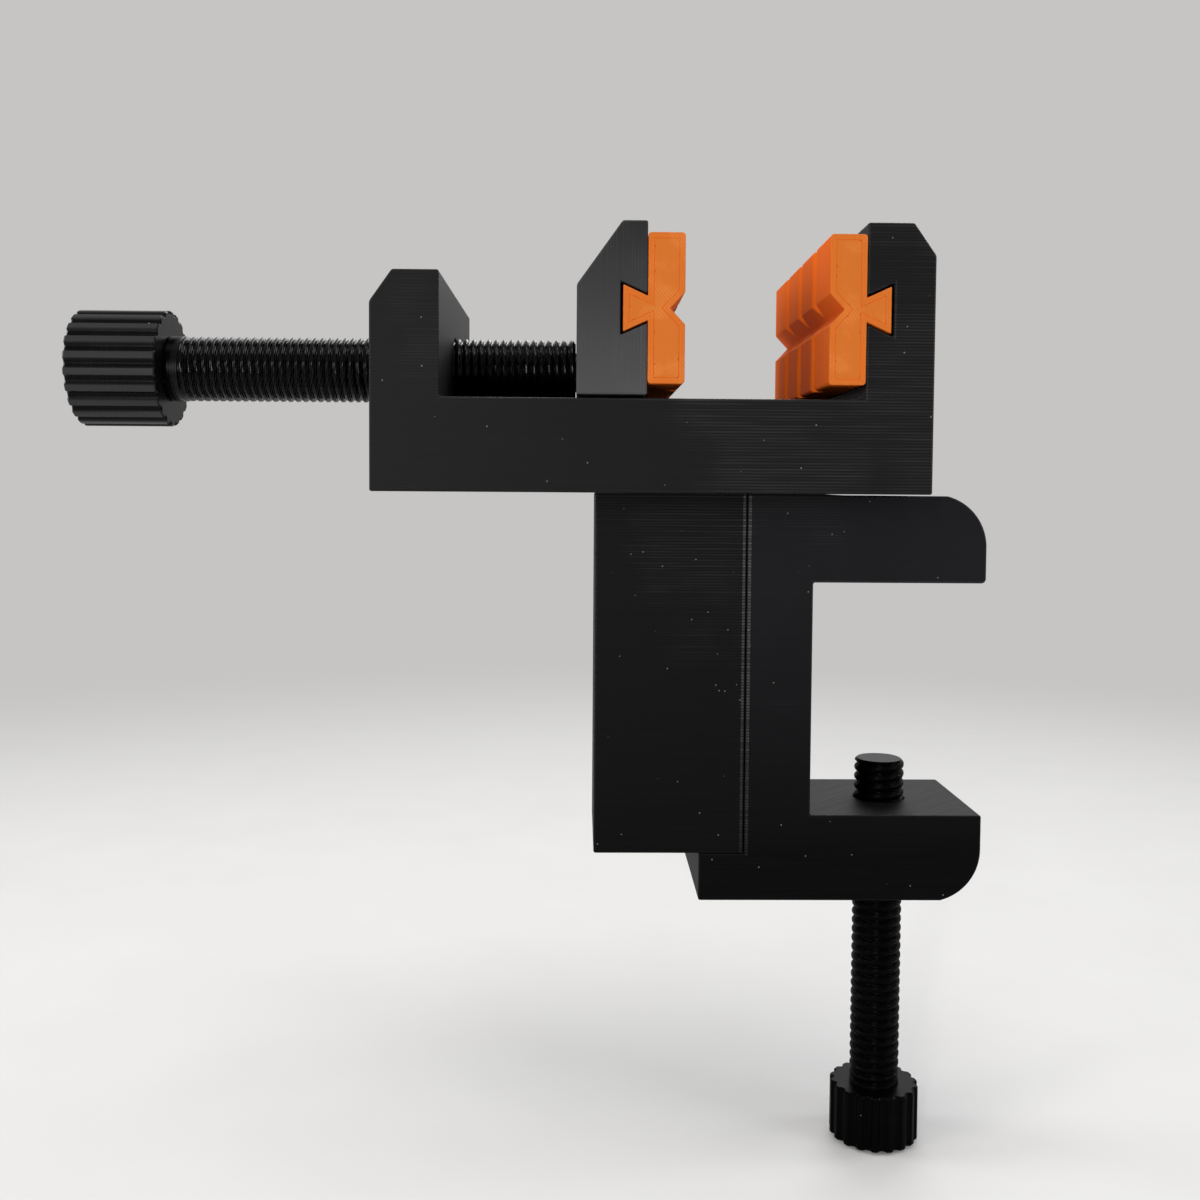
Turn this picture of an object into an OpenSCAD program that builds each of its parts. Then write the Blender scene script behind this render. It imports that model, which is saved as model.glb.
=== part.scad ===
// Small clamp-on table vise, printed in plastic: a bed with two dovetailed jaw
// inserts, carried on a post that slides down over the rail of a C clamp.
// Origin: on the table top under the clamp's upper arm, on the clamp screw's axis.
// +X points over the table, +Y to the back, +Z up. All sizes in millimetres.

/* [Bed and jaws] */
// Width of the bed, both jaws and both inserts
jaw_w = 50; // [40:1:70]
// Length of the bed
bed_len = 80; // [74:1:110]
// Thickness of the bed
bed_t = 13.4; // [12.5:0.1:20]
// Thickness of the nut block that carries the vise screw
nut_block_t = 9.8; // [7:0.1:14]
// Height of the nut block over the bed
nut_block_h = 17.8; // [14:0.1:22]
// Length of the nut block's outer chamfer along the bed
nut_chamfer_x = 3.2; // [1:0.1:5]
// Height of the nut block's outer chamfer
nut_chamfer_z = 4.5; // [1:0.1:6]
// Thickness of the fixed jaw
fixed_jaw_t = 9.75; // [8:0.05:14]
// Height of both jaws over the bed
jaw_h = 24.9; // [23:0.1:32]
// Length of the fixed jaw's outer chamfer along the bed
fixed_chamfer_x = 3.2; // [1:0.1:4]
// Height of the fixed jaw's outer chamfer
fixed_chamfer_z = 4.55; // [1:0.05:7]
// Thickness of the moving jaw
moving_jaw_t = 10; // [9.5:0.1:13]
// Length of the moving jaw's sloped back along the bed
moving_chamfer_x = 6.45; // [2:0.05:8]
// Height of the moving jaw's sloped back
moving_chamfer_z = 9; // [2:0.1:10]
// Gap between the two inserts as the vise stands
jaw_opening = 20.45; // [2:0.05:24]

/* [Jaw inserts] */
// Thickness of an insert in front of the jaw
insert_t = 5.25; // [4:0.05:8]
// Height of an insert
insert_h = 21.2; // [16:0.1:22]
// Height of an insert's middle over the bed
insert_mid_z = 12.65; // [11.5:0.05:13.5]
// Radius of an insert's long edges
insert_edge_r = 0.5; // [0.2:0.1:1.2]
// Opening of the level V groove for round stock
level_vee_w = 4.5; // [2:0.1:7]
// Depth of the level V groove
level_vee_depth = 2.1; // [1:0.1:3]
// Opening of an upright V groove
upright_vee_w = 3.4; // [2:0.1:6]
// Depth of an upright V groove
upright_vee_depth = 1.6; // [0.8:0.1:2.5]
// Number of upright V grooves, evenly spaced over the width
upright_vees = 3; // [1:1:5]
// Height of the insert's dovetail at its neck
tail_neck = 3.4; // [2.5:0.1:5]
// Height of the insert's dovetail at its far end
tail_end = 6.6; // [5.5:0.1:7.5]
// Depth of the insert's dovetail
tail_depth = 3.5; // [2.5:0.1:3.9]

/* [Jaw guide] */
// Width of the guide slot at the top of the bed
slot_neck_w = 16; // [14:0.5:20]
// Width of the guide slot under its lips
slot_w = 24; // [22:0.5:34]
// Thickness of the lips
lip_t = 4; // [3:0.1:4.5]
// Height of the wide part of the guide slot
slot_h = 4.5; // [3:0.1:4.8]

/* [Vise screw] */
// Outer diameter of the vise screw's thread
screw_d = 10.3; // [8:0.1:11]
// Pitch of the vise screw's thread
screw_pitch = 1.2; // [1:0.1:2]
// Depth of the vise screw's thread
screw_thread_depth = 0.75; // [0.4:0.05:0.9]
// Length of the smooth collar between the vise knob and the thread
collar_len = 2.3; // [1.5:0.1:6]
// How far the collar stands out over the thread
collar_step = 0.1; // [0.1:0.05:1]
// Height of the vise screw's axis over the bed
screw_axis_z = 5.85; // [5.6:0.05:7]
// How far the screw stands out of the nut block, up to its knob
screw_out = 35.3; // [24:0.1:50]
// Diameter of the neck behind the screw's button end
screw_neck_d = 6.4; // [5:0.1:7]
// Diameter of the button end, held in the moving jaw
button_d = 9; // [8:0.1:10]
// Thickness of the button end
button_t = 2.6; // [2:0.1:2.9]
// Wall of the moving jaw in front of the button end
button_wall = 2; // [1.5:0.1:2.2]
// Diameter of the vise knob
vise_knob_d = 18.3; // [14:0.1:26]
// Length of the vise knob
vise_knob_len = 14; // [10:0.5:20]
// Number of flutes round the vise knob
vise_knob_flutes = 22; // [12:1:26]

/* [Clamp] */
// Width of the clamp frame and the post
clamp_w = 25; // [22:0.5:36]
// Thickness of the clamp's arms
arm_t = 13.3; // [11:0.1:18]
// Clear height between the clamp's arms
throat_h = 35.9; // [34:0.1:60]
// Clear depth from the clamp's spine to the ends of its arms
throat_depth = 26.5; // [24:0.1:45]
// Thickness of the clamp's spine
spine_t = 10.1; // [8:0.1:16]
// Radius of the arms' outer corners
arm_corner_r = 8.1; // [4:0.1:9]
// Height of the arms' outer corners, a little less than their radius
arm_corner_h = 7.85; // [3.6:0.05:9]
// Radius of the upper arm's lower corner
arm_lip_r = 0.7; // [0.3:0.1:2]
// How far the foot reaches out under the post
foot_len = 7; // [6.5:0.1:12]
// Height of the foot
foot_h = 7.3; // [4:0.1:11]
// Depth of the clamp's dovetail rail
rail_depth = 6; // [4:0.1:6.4]
// Width of the rail at the spine
rail_neck = 8.5; // [6:0.1:11]
// Width of the rail at its far end
rail_end = 14; // [11.5:0.1:17]

/* [Clamp screw] */
// Outer diameter of the clamp screw's thread
clamp_screw_d = 8; // [6:0.1:10]
// Pitch of the clamp screw's thread
clamp_pitch = 1.5; // [1:0.1:2]
// Depth of the clamp screw's thread
clamp_thread_depth = 0.6; // [0.3:0.05:0.8]
// Distance of the clamp screw's axis from the spine
clamp_screw_reach = 13.5; // [10:0.1:16]
// Height of the clamp screw's tip over the lower arm
tip_h = 6.4; // [1:0.1:28]
// Bevel round the ends of both threads
tip_bevel = 0.4; // [0.1:0.1:0.8]
// How far the screw stands out under the lower arm, up to its knob
clamp_screw_out = 34; // [30:0.1:50]
// Diameter of the clamp knob
clamp_knob_d = 14.3; // [12:0.1:22]
// Height of the clamp knob
clamp_knob_len = 8.9; // [6:0.1:14]
// Number of flutes round the clamp knob
clamp_knob_flutes = 18; // [10:1:22]

/* [Knob fit] */
// Depth of a flute
flute_depth = 0.55; // [0.3:0.05:0.9]
// Radius of a flute
flute_r = 0.9; // [0.6:0.1:1.5]
// Width over the flats of the screws' hexagonal tenons
tenon_af = 6; // [4:0.1:7]
// Length of the tenons
tenon_len = 6; // [4:0.1:6.5]

/* [Post] */
// Length of the post along the bed
post_len = 23; // [20:0.1:30]
// Distance from the bed's free end to the post
post_from_end = 32.2; // [20:0.1:45]
// Shank diameter of the two screws that hold the post under the bed
post_screw_d = 4; // [3:0.1:4.5]
// Head diameter of those screws
post_screw_head_d = 7.5; // [6:0.1:8]
// Length of those screws
post_screw_len = 20; // [14:0.5:40]
// Distance between those screws
post_screw_pitch = 8; // [8:0.1:9]

/* [Clearances] */
// Round running fits, on the radius
run_clear = 0.06; // [0.02:0.01:0.15]
// Flat pieces that rest on each other
seat_clear = 0.05; // [0.02:0.01:0.1]
// Dovetails and the jaw's guide, on each side
slide_clear = 0.2; // [0.1:0.05:0.4]
// Round the inserts' dovetails, on each side
insert_clear = 0.35; // [0.1:0.05:0.5]
// Gap of the moving jaw over the bed
jaw_clear = 0.5; // [0.2:0.1:1]
// Gap of the bed over the clamp
bed_clear = 0.2; // [0.1:0.05:0.5]

/* [Hidden] */
$fn = 96;
// Cuts run this far past the faces they open
over = 1;
// Sides of a thread's turns, few because a thread has many turns
thread_sides = 16;

// Places along X, from the clamp screw's axis
spine_in_x = -clamp_screw_reach;
spine_out_x = spine_in_x - spine_t;
arm_end_x = spine_in_x + throat_depth;
foot_x = spine_out_x - foot_len;
post_x1 = spine_out_x - slide_clear;
post_x0 = post_x1 - post_len;
bed_x0 = post_x0 - post_from_end;
bed_x1 = bed_x0 + bed_len;
nut_in_x = bed_x0 + nut_block_t;
fixed_jaw_x = bed_x1 - fixed_jaw_t;
fixed_insert_x = fixed_jaw_x - seat_clear;
moving_insert_x = fixed_insert_x - 2 * insert_t - jaw_opening;
moving_jaw_x1 = moving_insert_x - seat_clear;
moving_jaw_x0 = moving_jaw_x1 - moving_jaw_t;
knob_face_x = bed_x0 - screw_out;

// Places along Z, from the table top
arm_top_z = arm_t;
lower_arm_z = -throat_h;
frame_z0 = lower_arm_z - arm_t;
foot_top_z = frame_z0 + foot_h;
post_z0 = foot_top_z + seat_clear;
bed_z0 = arm_top_z + bed_clear;
bed_z1 = bed_z0 + bed_t;
jaw_top_z = bed_z1 + jaw_h;
slot_z1 = bed_z1 - lip_t;
slot_z0 = slot_z1 - slot_h;
screw_z = bed_z1 + screw_axis_z;
insert_z = bed_z1 + insert_mid_z;
tip_z = lower_arm_z + tip_h;
clamp_knob_z = frame_z0 - clamp_screw_out;

// The button end in its pocket
button_x0 = moving_jaw_x0 + button_wall + run_clear;
button_x1 = button_x0 + button_t;

// The two screws under the bed sit in the solid part of the post
post_solid = post_len - rail_depth - slide_clear;
post_screw_x = post_x0 + post_solid / 2;
head_h = (post_screw_head_d - post_screw_d) / 2;

black = "#1c1c1e";
grey = "#2b2b2d";
orange = "#e07a2c";
steel = "#8d9095";

// A flat outline in X and Z, drawn out evenly to both sides of the middle plane
module across(width) {
    rotate([90, 0, 0])
        linear_extrude(width, center = true)
            children();
}

// A round bar along X from x0 to x1
module bar_x(d, x0, x1) {
    translate([x0, 0, screw_z])
        rotate([0, 90, 0])
            cylinder(d = d, h = x1 - x0);
}

// A dovetail that starts at the origin and widens along +X, with a short root behind its neck
module dovetail(neck, end, depth) {
    polygon([
        [-over, -neck / 2], [0, -neck / 2], [depth, -end / 2],
        [depth, end / 2], [0, neck / 2], [-over, neck / 2]
    ]);
}

// The groove for a dovetail: wider by the clearance all round, with its root as the open mouth
module dovetail_groove(neck, end, depth, clear) {
    flare = (end - neck) / depth;
    mouth = neck + 2 * clear;
    dovetail(mouth, mouth + flare * (depth + clear), depth + clear);
}

// The waste outside a rounded corner of height h that points to +X and +Y, from the arc's middle
module corner_waste(r, h) {
    difference() {
        translate([0, h - r])
            square(r + over);
        circle(r = r);
    }
}

// A round knob with scooped flutes, along +Z
module fluted_knob(d, len, flutes) {
    linear_extrude(len)
        difference() {
            circle(d = d);
            for (i = [0 : flutes - 1])
                rotate(i * 360 / flutes)
                    translate([d / 2 - flute_depth + flute_r, 0])
                        circle(r = flute_r, $fn = 48);
        }
}

// A hexagonal bar along +Z, grown by a clearance on each flat
module hexagon_bar(af, len, clear = 0) {
    cylinder(d = (af + 2 * clear) / cos(30), h = len, $fn = 6);
}

// A threaded bar along +Z with flat ends, bevelled at its far one. A crest line and a root line,
// half a pitch apart, wind round it together, and the groove between crests runs out at both ends.
module threaded_bar(d, depth, pitch, len, bevel) {
    n = thread_sides;
    turns = floor((len - bevel) / pitch - 0.5);
    start = (len - bevel - turns * pitch) / 2;
    last = turns * n;
    grooved = last - n;
    function around(i, r, z) = [r * cos(i * 360 / n), r * sin(i * 360 / n), z];
    function groove(i) = depth * min(1, (i + 1) * 2 / n, (grooved - i + 1) * 2 / n);
    crest = n;
    root = crest + last + 1;
    shoulder = root + grooved + 1;
    tip = shoulder + n;
    points = concat(
        [for (i = [0 : n - 1]) around(i, d / 2, 0)],
        [for (i = [0 : last]) around(i, d / 2, start + i * pitch / n)],
        [for (i = [0 : grooved]) around(i, d / 2 - groove(i), start + (i / n + 0.5) * pitch)],
        [for (i = [0 : n - 1]) around(i, d / 2, len - bevel)],
        [for (i = [0 : n - 1]) around(i, d / 2 - bevel, len)]
    );
    near_end = concat(
        [[for (i = [0 : n - 1]) i]],
        [for (i = [0 : n - 2]) [i, crest + i, crest + i + 1, i + 1]],
        [[n - 1, crest + n - 1, crest + n], [n - 1, crest + n, crest], [n - 1, crest, 0]],
        [[crest, crest + n, root]]
    );
    flanks = [
        for (i = [0 : grooved - 1], half = [0 : 3])
            [
                [crest + i, root + i, root + i + 1],
                [crest + i, root + i + 1, crest + i + 1],
                [root + i, crest + i + n, crest + i + n + 1],
                [root + i, crest + i + n + 1, root + i + 1]
            ][half]
    ];
    far = crest + grooved;
    far_end = concat(
        [[far, root + grooved, far + n]],
        [[far, far + n, shoulder + 1], [far + n, shoulder, shoulder + 1], [far, shoulder + 1, far + 1]],
        [for (i = [1 : n - 1]) [far + i, shoulder + i, shoulder + (i + 1) % n, far + i + 1]],
        [for (i = [0 : n - 1]) [shoulder + i, tip + i, tip + (i + 1) % n, shoulder + (i + 1) % n]],
        [[for (i = [n - 1 : -1 : 0]) tip + i]]
    );
    polyhedron(points, concat(near_end, flanks, far_end));
}

// C clamp with the foot under the post, and the dovetail rail up its back
module clamp_frame() {
    color(black)
        difference() {
            union() {
                across(clamp_w)
                    difference() {
                        translate([spine_out_x, frame_z0])
                            square([arm_end_x - spine_out_x, arm_top_z - frame_z0]);
                        translate([spine_in_x, lower_arm_z])
                            square([throat_depth + over, throat_h]);
                        translate([arm_end_x - arm_corner_r, arm_top_z - arm_corner_h])
                            corner_waste(arm_corner_r, arm_corner_h);
                        translate([arm_end_x - arm_lip_r, arm_lip_r])
                            mirror([0, 1])
                                corner_waste(arm_lip_r, arm_lip_r);
                        translate([arm_end_x - arm_corner_r, frame_z0 + arm_corner_h])
                            mirror([0, 1])
                                corner_waste(arm_corner_r, arm_corner_h);
                    }
                across(clamp_w)
                    translate([foot_x, frame_z0])
                        square([foot_len, foot_h]);
                translate([spine_out_x, 0, frame_z0])
                    linear_extrude(arm_top_z - frame_z0)
                        mirror([1, 0])
                            dovetail(rail_neck, rail_end, rail_depth);
            }
            translate([0, 0, frame_z0 - over])
                cylinder(r = clamp_screw_d / 2 + run_clear, h = arm_t + 2 * over);
        }
}

// Clamp screw: the thread with a bevelled tip, and a hexagonal tenon for the knob
module clamp_screw() {
    color(black) {
        translate([0, 0, clamp_knob_z])
            threaded_bar(clamp_screw_d, clamp_thread_depth, clamp_pitch, tip_z - clamp_knob_z, tip_bevel);
        translate([0, 0, clamp_knob_z - tenon_len])
            hexagon_bar(tenon_af, tenon_len);
    }
}

// Clamp knob, pressed on the clamp screw's tenon from below
module clamp_knob() {
    color(black)
        translate([0, 0, clamp_knob_z - seat_clear - clamp_knob_len])
            difference() {
                fluted_knob(clamp_knob_d, clamp_knob_len, clamp_knob_flutes);
                translate([0, 0, clamp_knob_len - tenon_len])
                    hexagon_bar(tenon_af, tenon_len + over, run_clear);
            }
}

// Post under the bed, with the upright dovetail socket that drops over the clamp's rail
module mounting_post() {
    color(black)
        difference() {
            translate([post_x0, -clamp_w / 2, post_z0])
                cube([post_len, clamp_w, bed_z0 - post_z0]);
            translate([post_x1, 0, post_z0 - over])
                linear_extrude(bed_z0 - post_z0 + 2 * over)
                    mirror([1, 0])
                        dovetail_groove(rail_neck, rail_end, rail_depth, slide_clear);
            post_screw_holes();
        }
}

// The two screws' places
module at_post_screws() {
    for (side = [-1, 1])
        translate([post_screw_x + side * post_screw_pitch / 2, 0, slot_z0 - seat_clear])
            children();
}

// Countersunk through the floor of the guide slot, blind in the post
module post_screw_holes() {
    at_post_screws() {
        translate([0, 0, -post_screw_len - seat_clear])
            cylinder(r = post_screw_d / 2 + run_clear, h = post_screw_len + over);
        translate([0, 0, -head_h])
            cylinder(r1 = post_screw_d / 2 + run_clear, r2 = post_screw_head_d / 2 + run_clear, h = head_h);
        cylinder(r = post_screw_head_d / 2 + run_clear, h = over);
    }
}

// Countersunk screws that hold the post up against the bed
module post_screws() {
    color(steel)
        at_post_screws() {
            difference() {
                union() {
                    translate([0, 0, -post_screw_len])
                        cylinder(d = post_screw_d, h = post_screw_len);
                    translate([0, 0, -head_h])
                        cylinder(d1 = post_screw_d, d2 = post_screw_head_d, h = head_h);
                }
                translate([0, 0, -head_h])
                    hexagon_bar(post_screw_d * 0.6, head_h + over);
            }
        }
}

// Bed, nut block and fixed jaw in one piece, with the moving jaw's guide slot
module vise_body() {
    nut_top_z = bed_z1 + nut_block_h;
    slot_len = fixed_jaw_x - nut_in_x;
    entrance = moving_jaw_t + 2 * slide_clear;
    color(black)
        difference() {
            across(jaw_w)
                polygon([
                    [bed_x0, bed_z0], [bed_x1, bed_z0],
                    [bed_x1, jaw_top_z - fixed_chamfer_z], [bed_x1 - fixed_chamfer_x, jaw_top_z],
                    [fixed_jaw_x, jaw_top_z], [fixed_jaw_x, bed_z1],
                    [nut_in_x, bed_z1], [nut_in_x, nut_top_z],
                    [bed_x0 + nut_chamfer_x, nut_top_z], [bed_x0, nut_top_z - nut_chamfer_z]
                ]);
            translate([nut_in_x, -slot_neck_w / 2, slot_z0])
                cube([slot_len, slot_neck_w, slot_h + lip_t + over]);
            translate([nut_in_x, -slot_w / 2, slot_z0])
                cube([slot_len, slot_w, slot_h]);
            translate([fixed_jaw_x - entrance, -slot_w / 2, slot_z0])
                cube([entrance, slot_w, slot_h + lip_t + over]);
            bar_x(screw_d + 2 * run_clear, bed_x0 - over, nut_in_x + over);
            across(jaw_w + 2 * over)
                translate([fixed_jaw_x, insert_z])
                    dovetail_groove(tail_neck, tail_end, tail_depth, insert_clear);
            post_screw_holes();
        }
}

// Moving jaw with its guide tongue below and the pocket for the screw's button end
module moving_jaw() {
    tongue_neck_w = slot_neck_w - 2 * slide_clear;
    tongue_w = slot_w - 2 * slide_clear;
    tongue_z0 = slot_z0 + seat_clear;
    tongue_h = slot_h - seat_clear - slide_clear;
    jaw_z0 = bed_z1 + jaw_clear;
    color(grey)
        difference() {
            union() {
                across(jaw_w)
                    polygon([
                        [moving_jaw_x0, jaw_z0], [moving_jaw_x1, jaw_z0],
                        [moving_jaw_x1, jaw_top_z], [moving_jaw_x0 + moving_chamfer_x, jaw_top_z],
                        [moving_jaw_x0, jaw_top_z - moving_chamfer_z]
                    ]);
                translate([moving_jaw_x0, -tongue_neck_w / 2, tongue_z0])
                    cube([moving_jaw_t, tongue_neck_w, jaw_z0 - tongue_z0 + over]);
                translate([moving_jaw_x0, -tongue_w / 2, tongue_z0])
                    cube([moving_jaw_t, tongue_w, tongue_h]);
            }
            across(jaw_w + 2 * over)
                translate([moving_jaw_x1, insert_z])
                    mirror([1, 0])
                        dovetail_groove(tail_neck, tail_end, tail_depth, insert_clear);
            button_slot(screw_neck_d, moving_jaw_x0 - over, button_x1 + run_clear, tongue_z0);
            button_slot(button_d, button_x0 - run_clear, button_x1 + run_clear, tongue_z0);
        }
}

// A slot round the screw's end that is open at the jaw's underside, to drop the jaw over it
module button_slot(d, x0, x1, z0) {
    slot_d = d + 2 * run_clear;
    bar_x(slot_d, x0, x1);
    translate([x0, -slot_d / 2, z0 - over])
        cube([x1 - x0, slot_d, screw_z - z0 + over]);
}

// Vise screw: tenon, smooth collar and thread, then neck and button end
module vise_screw() {
    thread_x0 = knob_face_x + over;
    thread_x1 = moving_jaw_x0 - slide_clear;
    color(black) {
        translate([knob_face_x - tenon_len, 0, screw_z])
            rotate([0, 90, 0])
                hexagon_bar(tenon_af, tenon_len);
        bar_x(screw_d + 2 * collar_step, knob_face_x, knob_face_x + collar_len);
        translate([thread_x0, 0, screw_z])
            rotate([0, 90, 0])
                threaded_bar(screw_d, screw_thread_depth, screw_pitch, thread_x1 - thread_x0, tip_bevel);
        bar_x(screw_neck_d, thread_x1 - over, button_x0);
        bar_x(button_d, button_x0, button_x1);
    }
}

// Vise knob, pressed on the vise screw's tenon
module vise_knob() {
    color(black)
        translate([knob_face_x - seat_clear - vise_knob_len, 0, screw_z])
            rotate([0, 90, 0])
                difference() {
                    fluted_knob(vise_knob_d, vise_knob_len, vise_knob_flutes);
                    translate([0, 0, vise_knob_len - tenon_len])
                        hexagon_bar(tenon_af, tenon_len + over, run_clear);
                }
}

// Jaw insert with its back at the origin: dovetail to -X, gripping face to +X
module jaw_insert() {
    difference() {
        union() {
            across(jaw_w)
                rounded_plate(insert_t, insert_h, insert_edge_r);
            across(jaw_w)
                mirror([1, 0])
                    dovetail(tail_neck, tail_end, tail_depth);
        }
        across(jaw_w + 2 * over)
            vee(level_vee_w, level_vee_depth);
        for (i = [1 : upright_vees])
            translate([0, jaw_w * (i / (upright_vees + 1) - 0.5), -insert_h / 2 - over])
                linear_extrude(insert_h + 2 * over)
                    vee(upright_vee_w, upright_vee_depth);
    }
}

// A plate on end with rounded corners, its back on the Z axis and its middle at the origin
module rounded_plate(t, h, r) {
    translate([0, r - h / 2])
        square([t, h - 2 * r]);
    translate([r, -h / 2])
        square([t - 2 * r, h]);
    for (x = [r, t - r], z = [r - h / 2, h / 2 - r])
        translate([x, z])
            circle(r = r, $fn = 48);
}

// A V notch cut into the gripping face
module vee(width, depth) {
    flank = width / 2 / depth;
    mouth = flank * (depth + over);
    polygon([[insert_t - depth, 0], [insert_t + over, -mouth], [insert_t + over, mouth]]);
}

module moving_jaw_insert() {
    color(orange)
        translate([moving_insert_x, 0, insert_z])
            jaw_insert();
}

module fixed_jaw_insert() {
    color(orange)
        translate([fixed_insert_x, 0, insert_z])
            mirror([1, 0, 0])
                jaw_insert();
}

clamp_frame();
clamp_screw();
clamp_knob();
mounting_post();
post_screws();
vise_body();
moving_jaw();
vise_screw();
vise_knob();
moving_jaw_insert();
fixed_jaw_insert();
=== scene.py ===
import math

import bmesh
import bpy
from mathutils import Matrix, Vector
from mathutils.geometry import tessellate_polygon


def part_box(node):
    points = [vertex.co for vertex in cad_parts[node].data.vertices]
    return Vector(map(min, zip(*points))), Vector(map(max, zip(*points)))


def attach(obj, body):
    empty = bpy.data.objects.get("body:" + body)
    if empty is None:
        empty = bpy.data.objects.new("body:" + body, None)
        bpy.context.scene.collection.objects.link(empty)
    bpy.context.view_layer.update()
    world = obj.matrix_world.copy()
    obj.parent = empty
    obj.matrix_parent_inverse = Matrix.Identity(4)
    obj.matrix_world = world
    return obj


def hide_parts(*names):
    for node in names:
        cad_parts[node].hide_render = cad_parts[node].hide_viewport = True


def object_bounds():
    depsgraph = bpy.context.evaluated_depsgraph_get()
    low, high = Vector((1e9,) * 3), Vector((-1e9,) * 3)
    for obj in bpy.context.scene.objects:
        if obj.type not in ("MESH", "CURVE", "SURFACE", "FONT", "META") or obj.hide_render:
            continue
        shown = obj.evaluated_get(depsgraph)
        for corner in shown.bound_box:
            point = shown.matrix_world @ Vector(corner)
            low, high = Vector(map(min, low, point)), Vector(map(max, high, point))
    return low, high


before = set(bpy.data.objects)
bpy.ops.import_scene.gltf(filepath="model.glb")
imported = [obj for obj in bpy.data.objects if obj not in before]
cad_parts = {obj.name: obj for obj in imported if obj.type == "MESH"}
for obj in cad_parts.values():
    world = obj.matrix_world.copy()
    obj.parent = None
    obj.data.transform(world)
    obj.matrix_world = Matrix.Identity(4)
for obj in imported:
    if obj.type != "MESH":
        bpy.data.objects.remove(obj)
cad_low, cad_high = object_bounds()


# Clamp frame
# C clamp that grips the table: two arms, a spine with a dovetail rail, and a foot for the post.
# Black PLA, printed upright in one piece, so its layers lie level.
MM = 0.001
WELD = 0.002 * MM
BLOCK_WELD = 0.02 * MM
BLOCK_EASE = 0.28 * MM
FLAT_ANGLE = math.radians(0.6)
CORNER_ANGLE = math.radians(25)
BLOCK_CREASE = 6
# Painted highlights: the share and tone of the paler eased edges, and the tone of the paler knob lands
EDGE_HIGHLIGHT = 0.15
EDGE_HIGHLIGHT_TONE = "#6E6E70"
LAND_HIGHLIGHT_TONE = "#58585A"
DUST_TONE = "#C4C4BE"
SQUARE_ON = 0.9
SEAM_GAP = 0.2 * MM
SEAM_LIP = 0.55 * MM
SEAM_HALF = 0.13 * MM
SEAM_DEEP = 0.21 * MM
ARM_LIFT = 0.19 * MM
LIFT_X = (-12.0 * MM, -8.0 * MM)
clamp_low, clamp_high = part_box("clamp_frame")
CLAMP_W = clamp_high.y - clamp_low.y
ARM_TOP_Z = clamp_high.z
POST_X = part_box("mounting_post")[1].x
SPINE_X = POST_X + SEAM_GAP


def linear(hex_colour):
    """An sRGB hex colour as linear red, green, blue and alpha."""
    parts = [int(hex_colour[i:i + 2], 16) / 255 for i in (1, 3, 5)]
    return [c / 12.92 if c <= 0.04045 else ((c + 0.055) / 1.055) ** 2.4 for c in parts] + [1.0]


def add(tree, kind, sockets=None, **settings):
    """Adds a node with its settings, and links or sets the sockets that are given."""
    node = tree.nodes.new(kind)
    for key, value in settings.items():
        setattr(node, key, value)
    for key, value in (sockets or {}).items():
        if isinstance(value, bpy.types.NodeSocket):
            tree.links.new(value, node.inputs[key])
        else:
            node.inputs[key].default_value = value
    return node


def bare_material(name):
    """A new material with an empty node tree, and that tree."""
    material = bpy.data.materials.new(name)
    material.use_nodes = True
    material.node_tree.nodes.clear()
    return material, material.node_tree


def in_repeat(tree, value, rate):
    """Where a value lies in a pattern that comes back at a rate: -0.5 to 0.5, with 0 in its middle."""
    times = add(tree, "ShaderNodeMath", {0: value, 1: rate}, operation="MULTIPLY").outputs[0]
    part = add(tree, "ShaderNodeMath", {0: times}, operation="FRACT").outputs[0]
    return add(tree, "ShaderNodeMath", {0: part, 1: 0.5}, operation="SUBTRACT").outputs[0]


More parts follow.
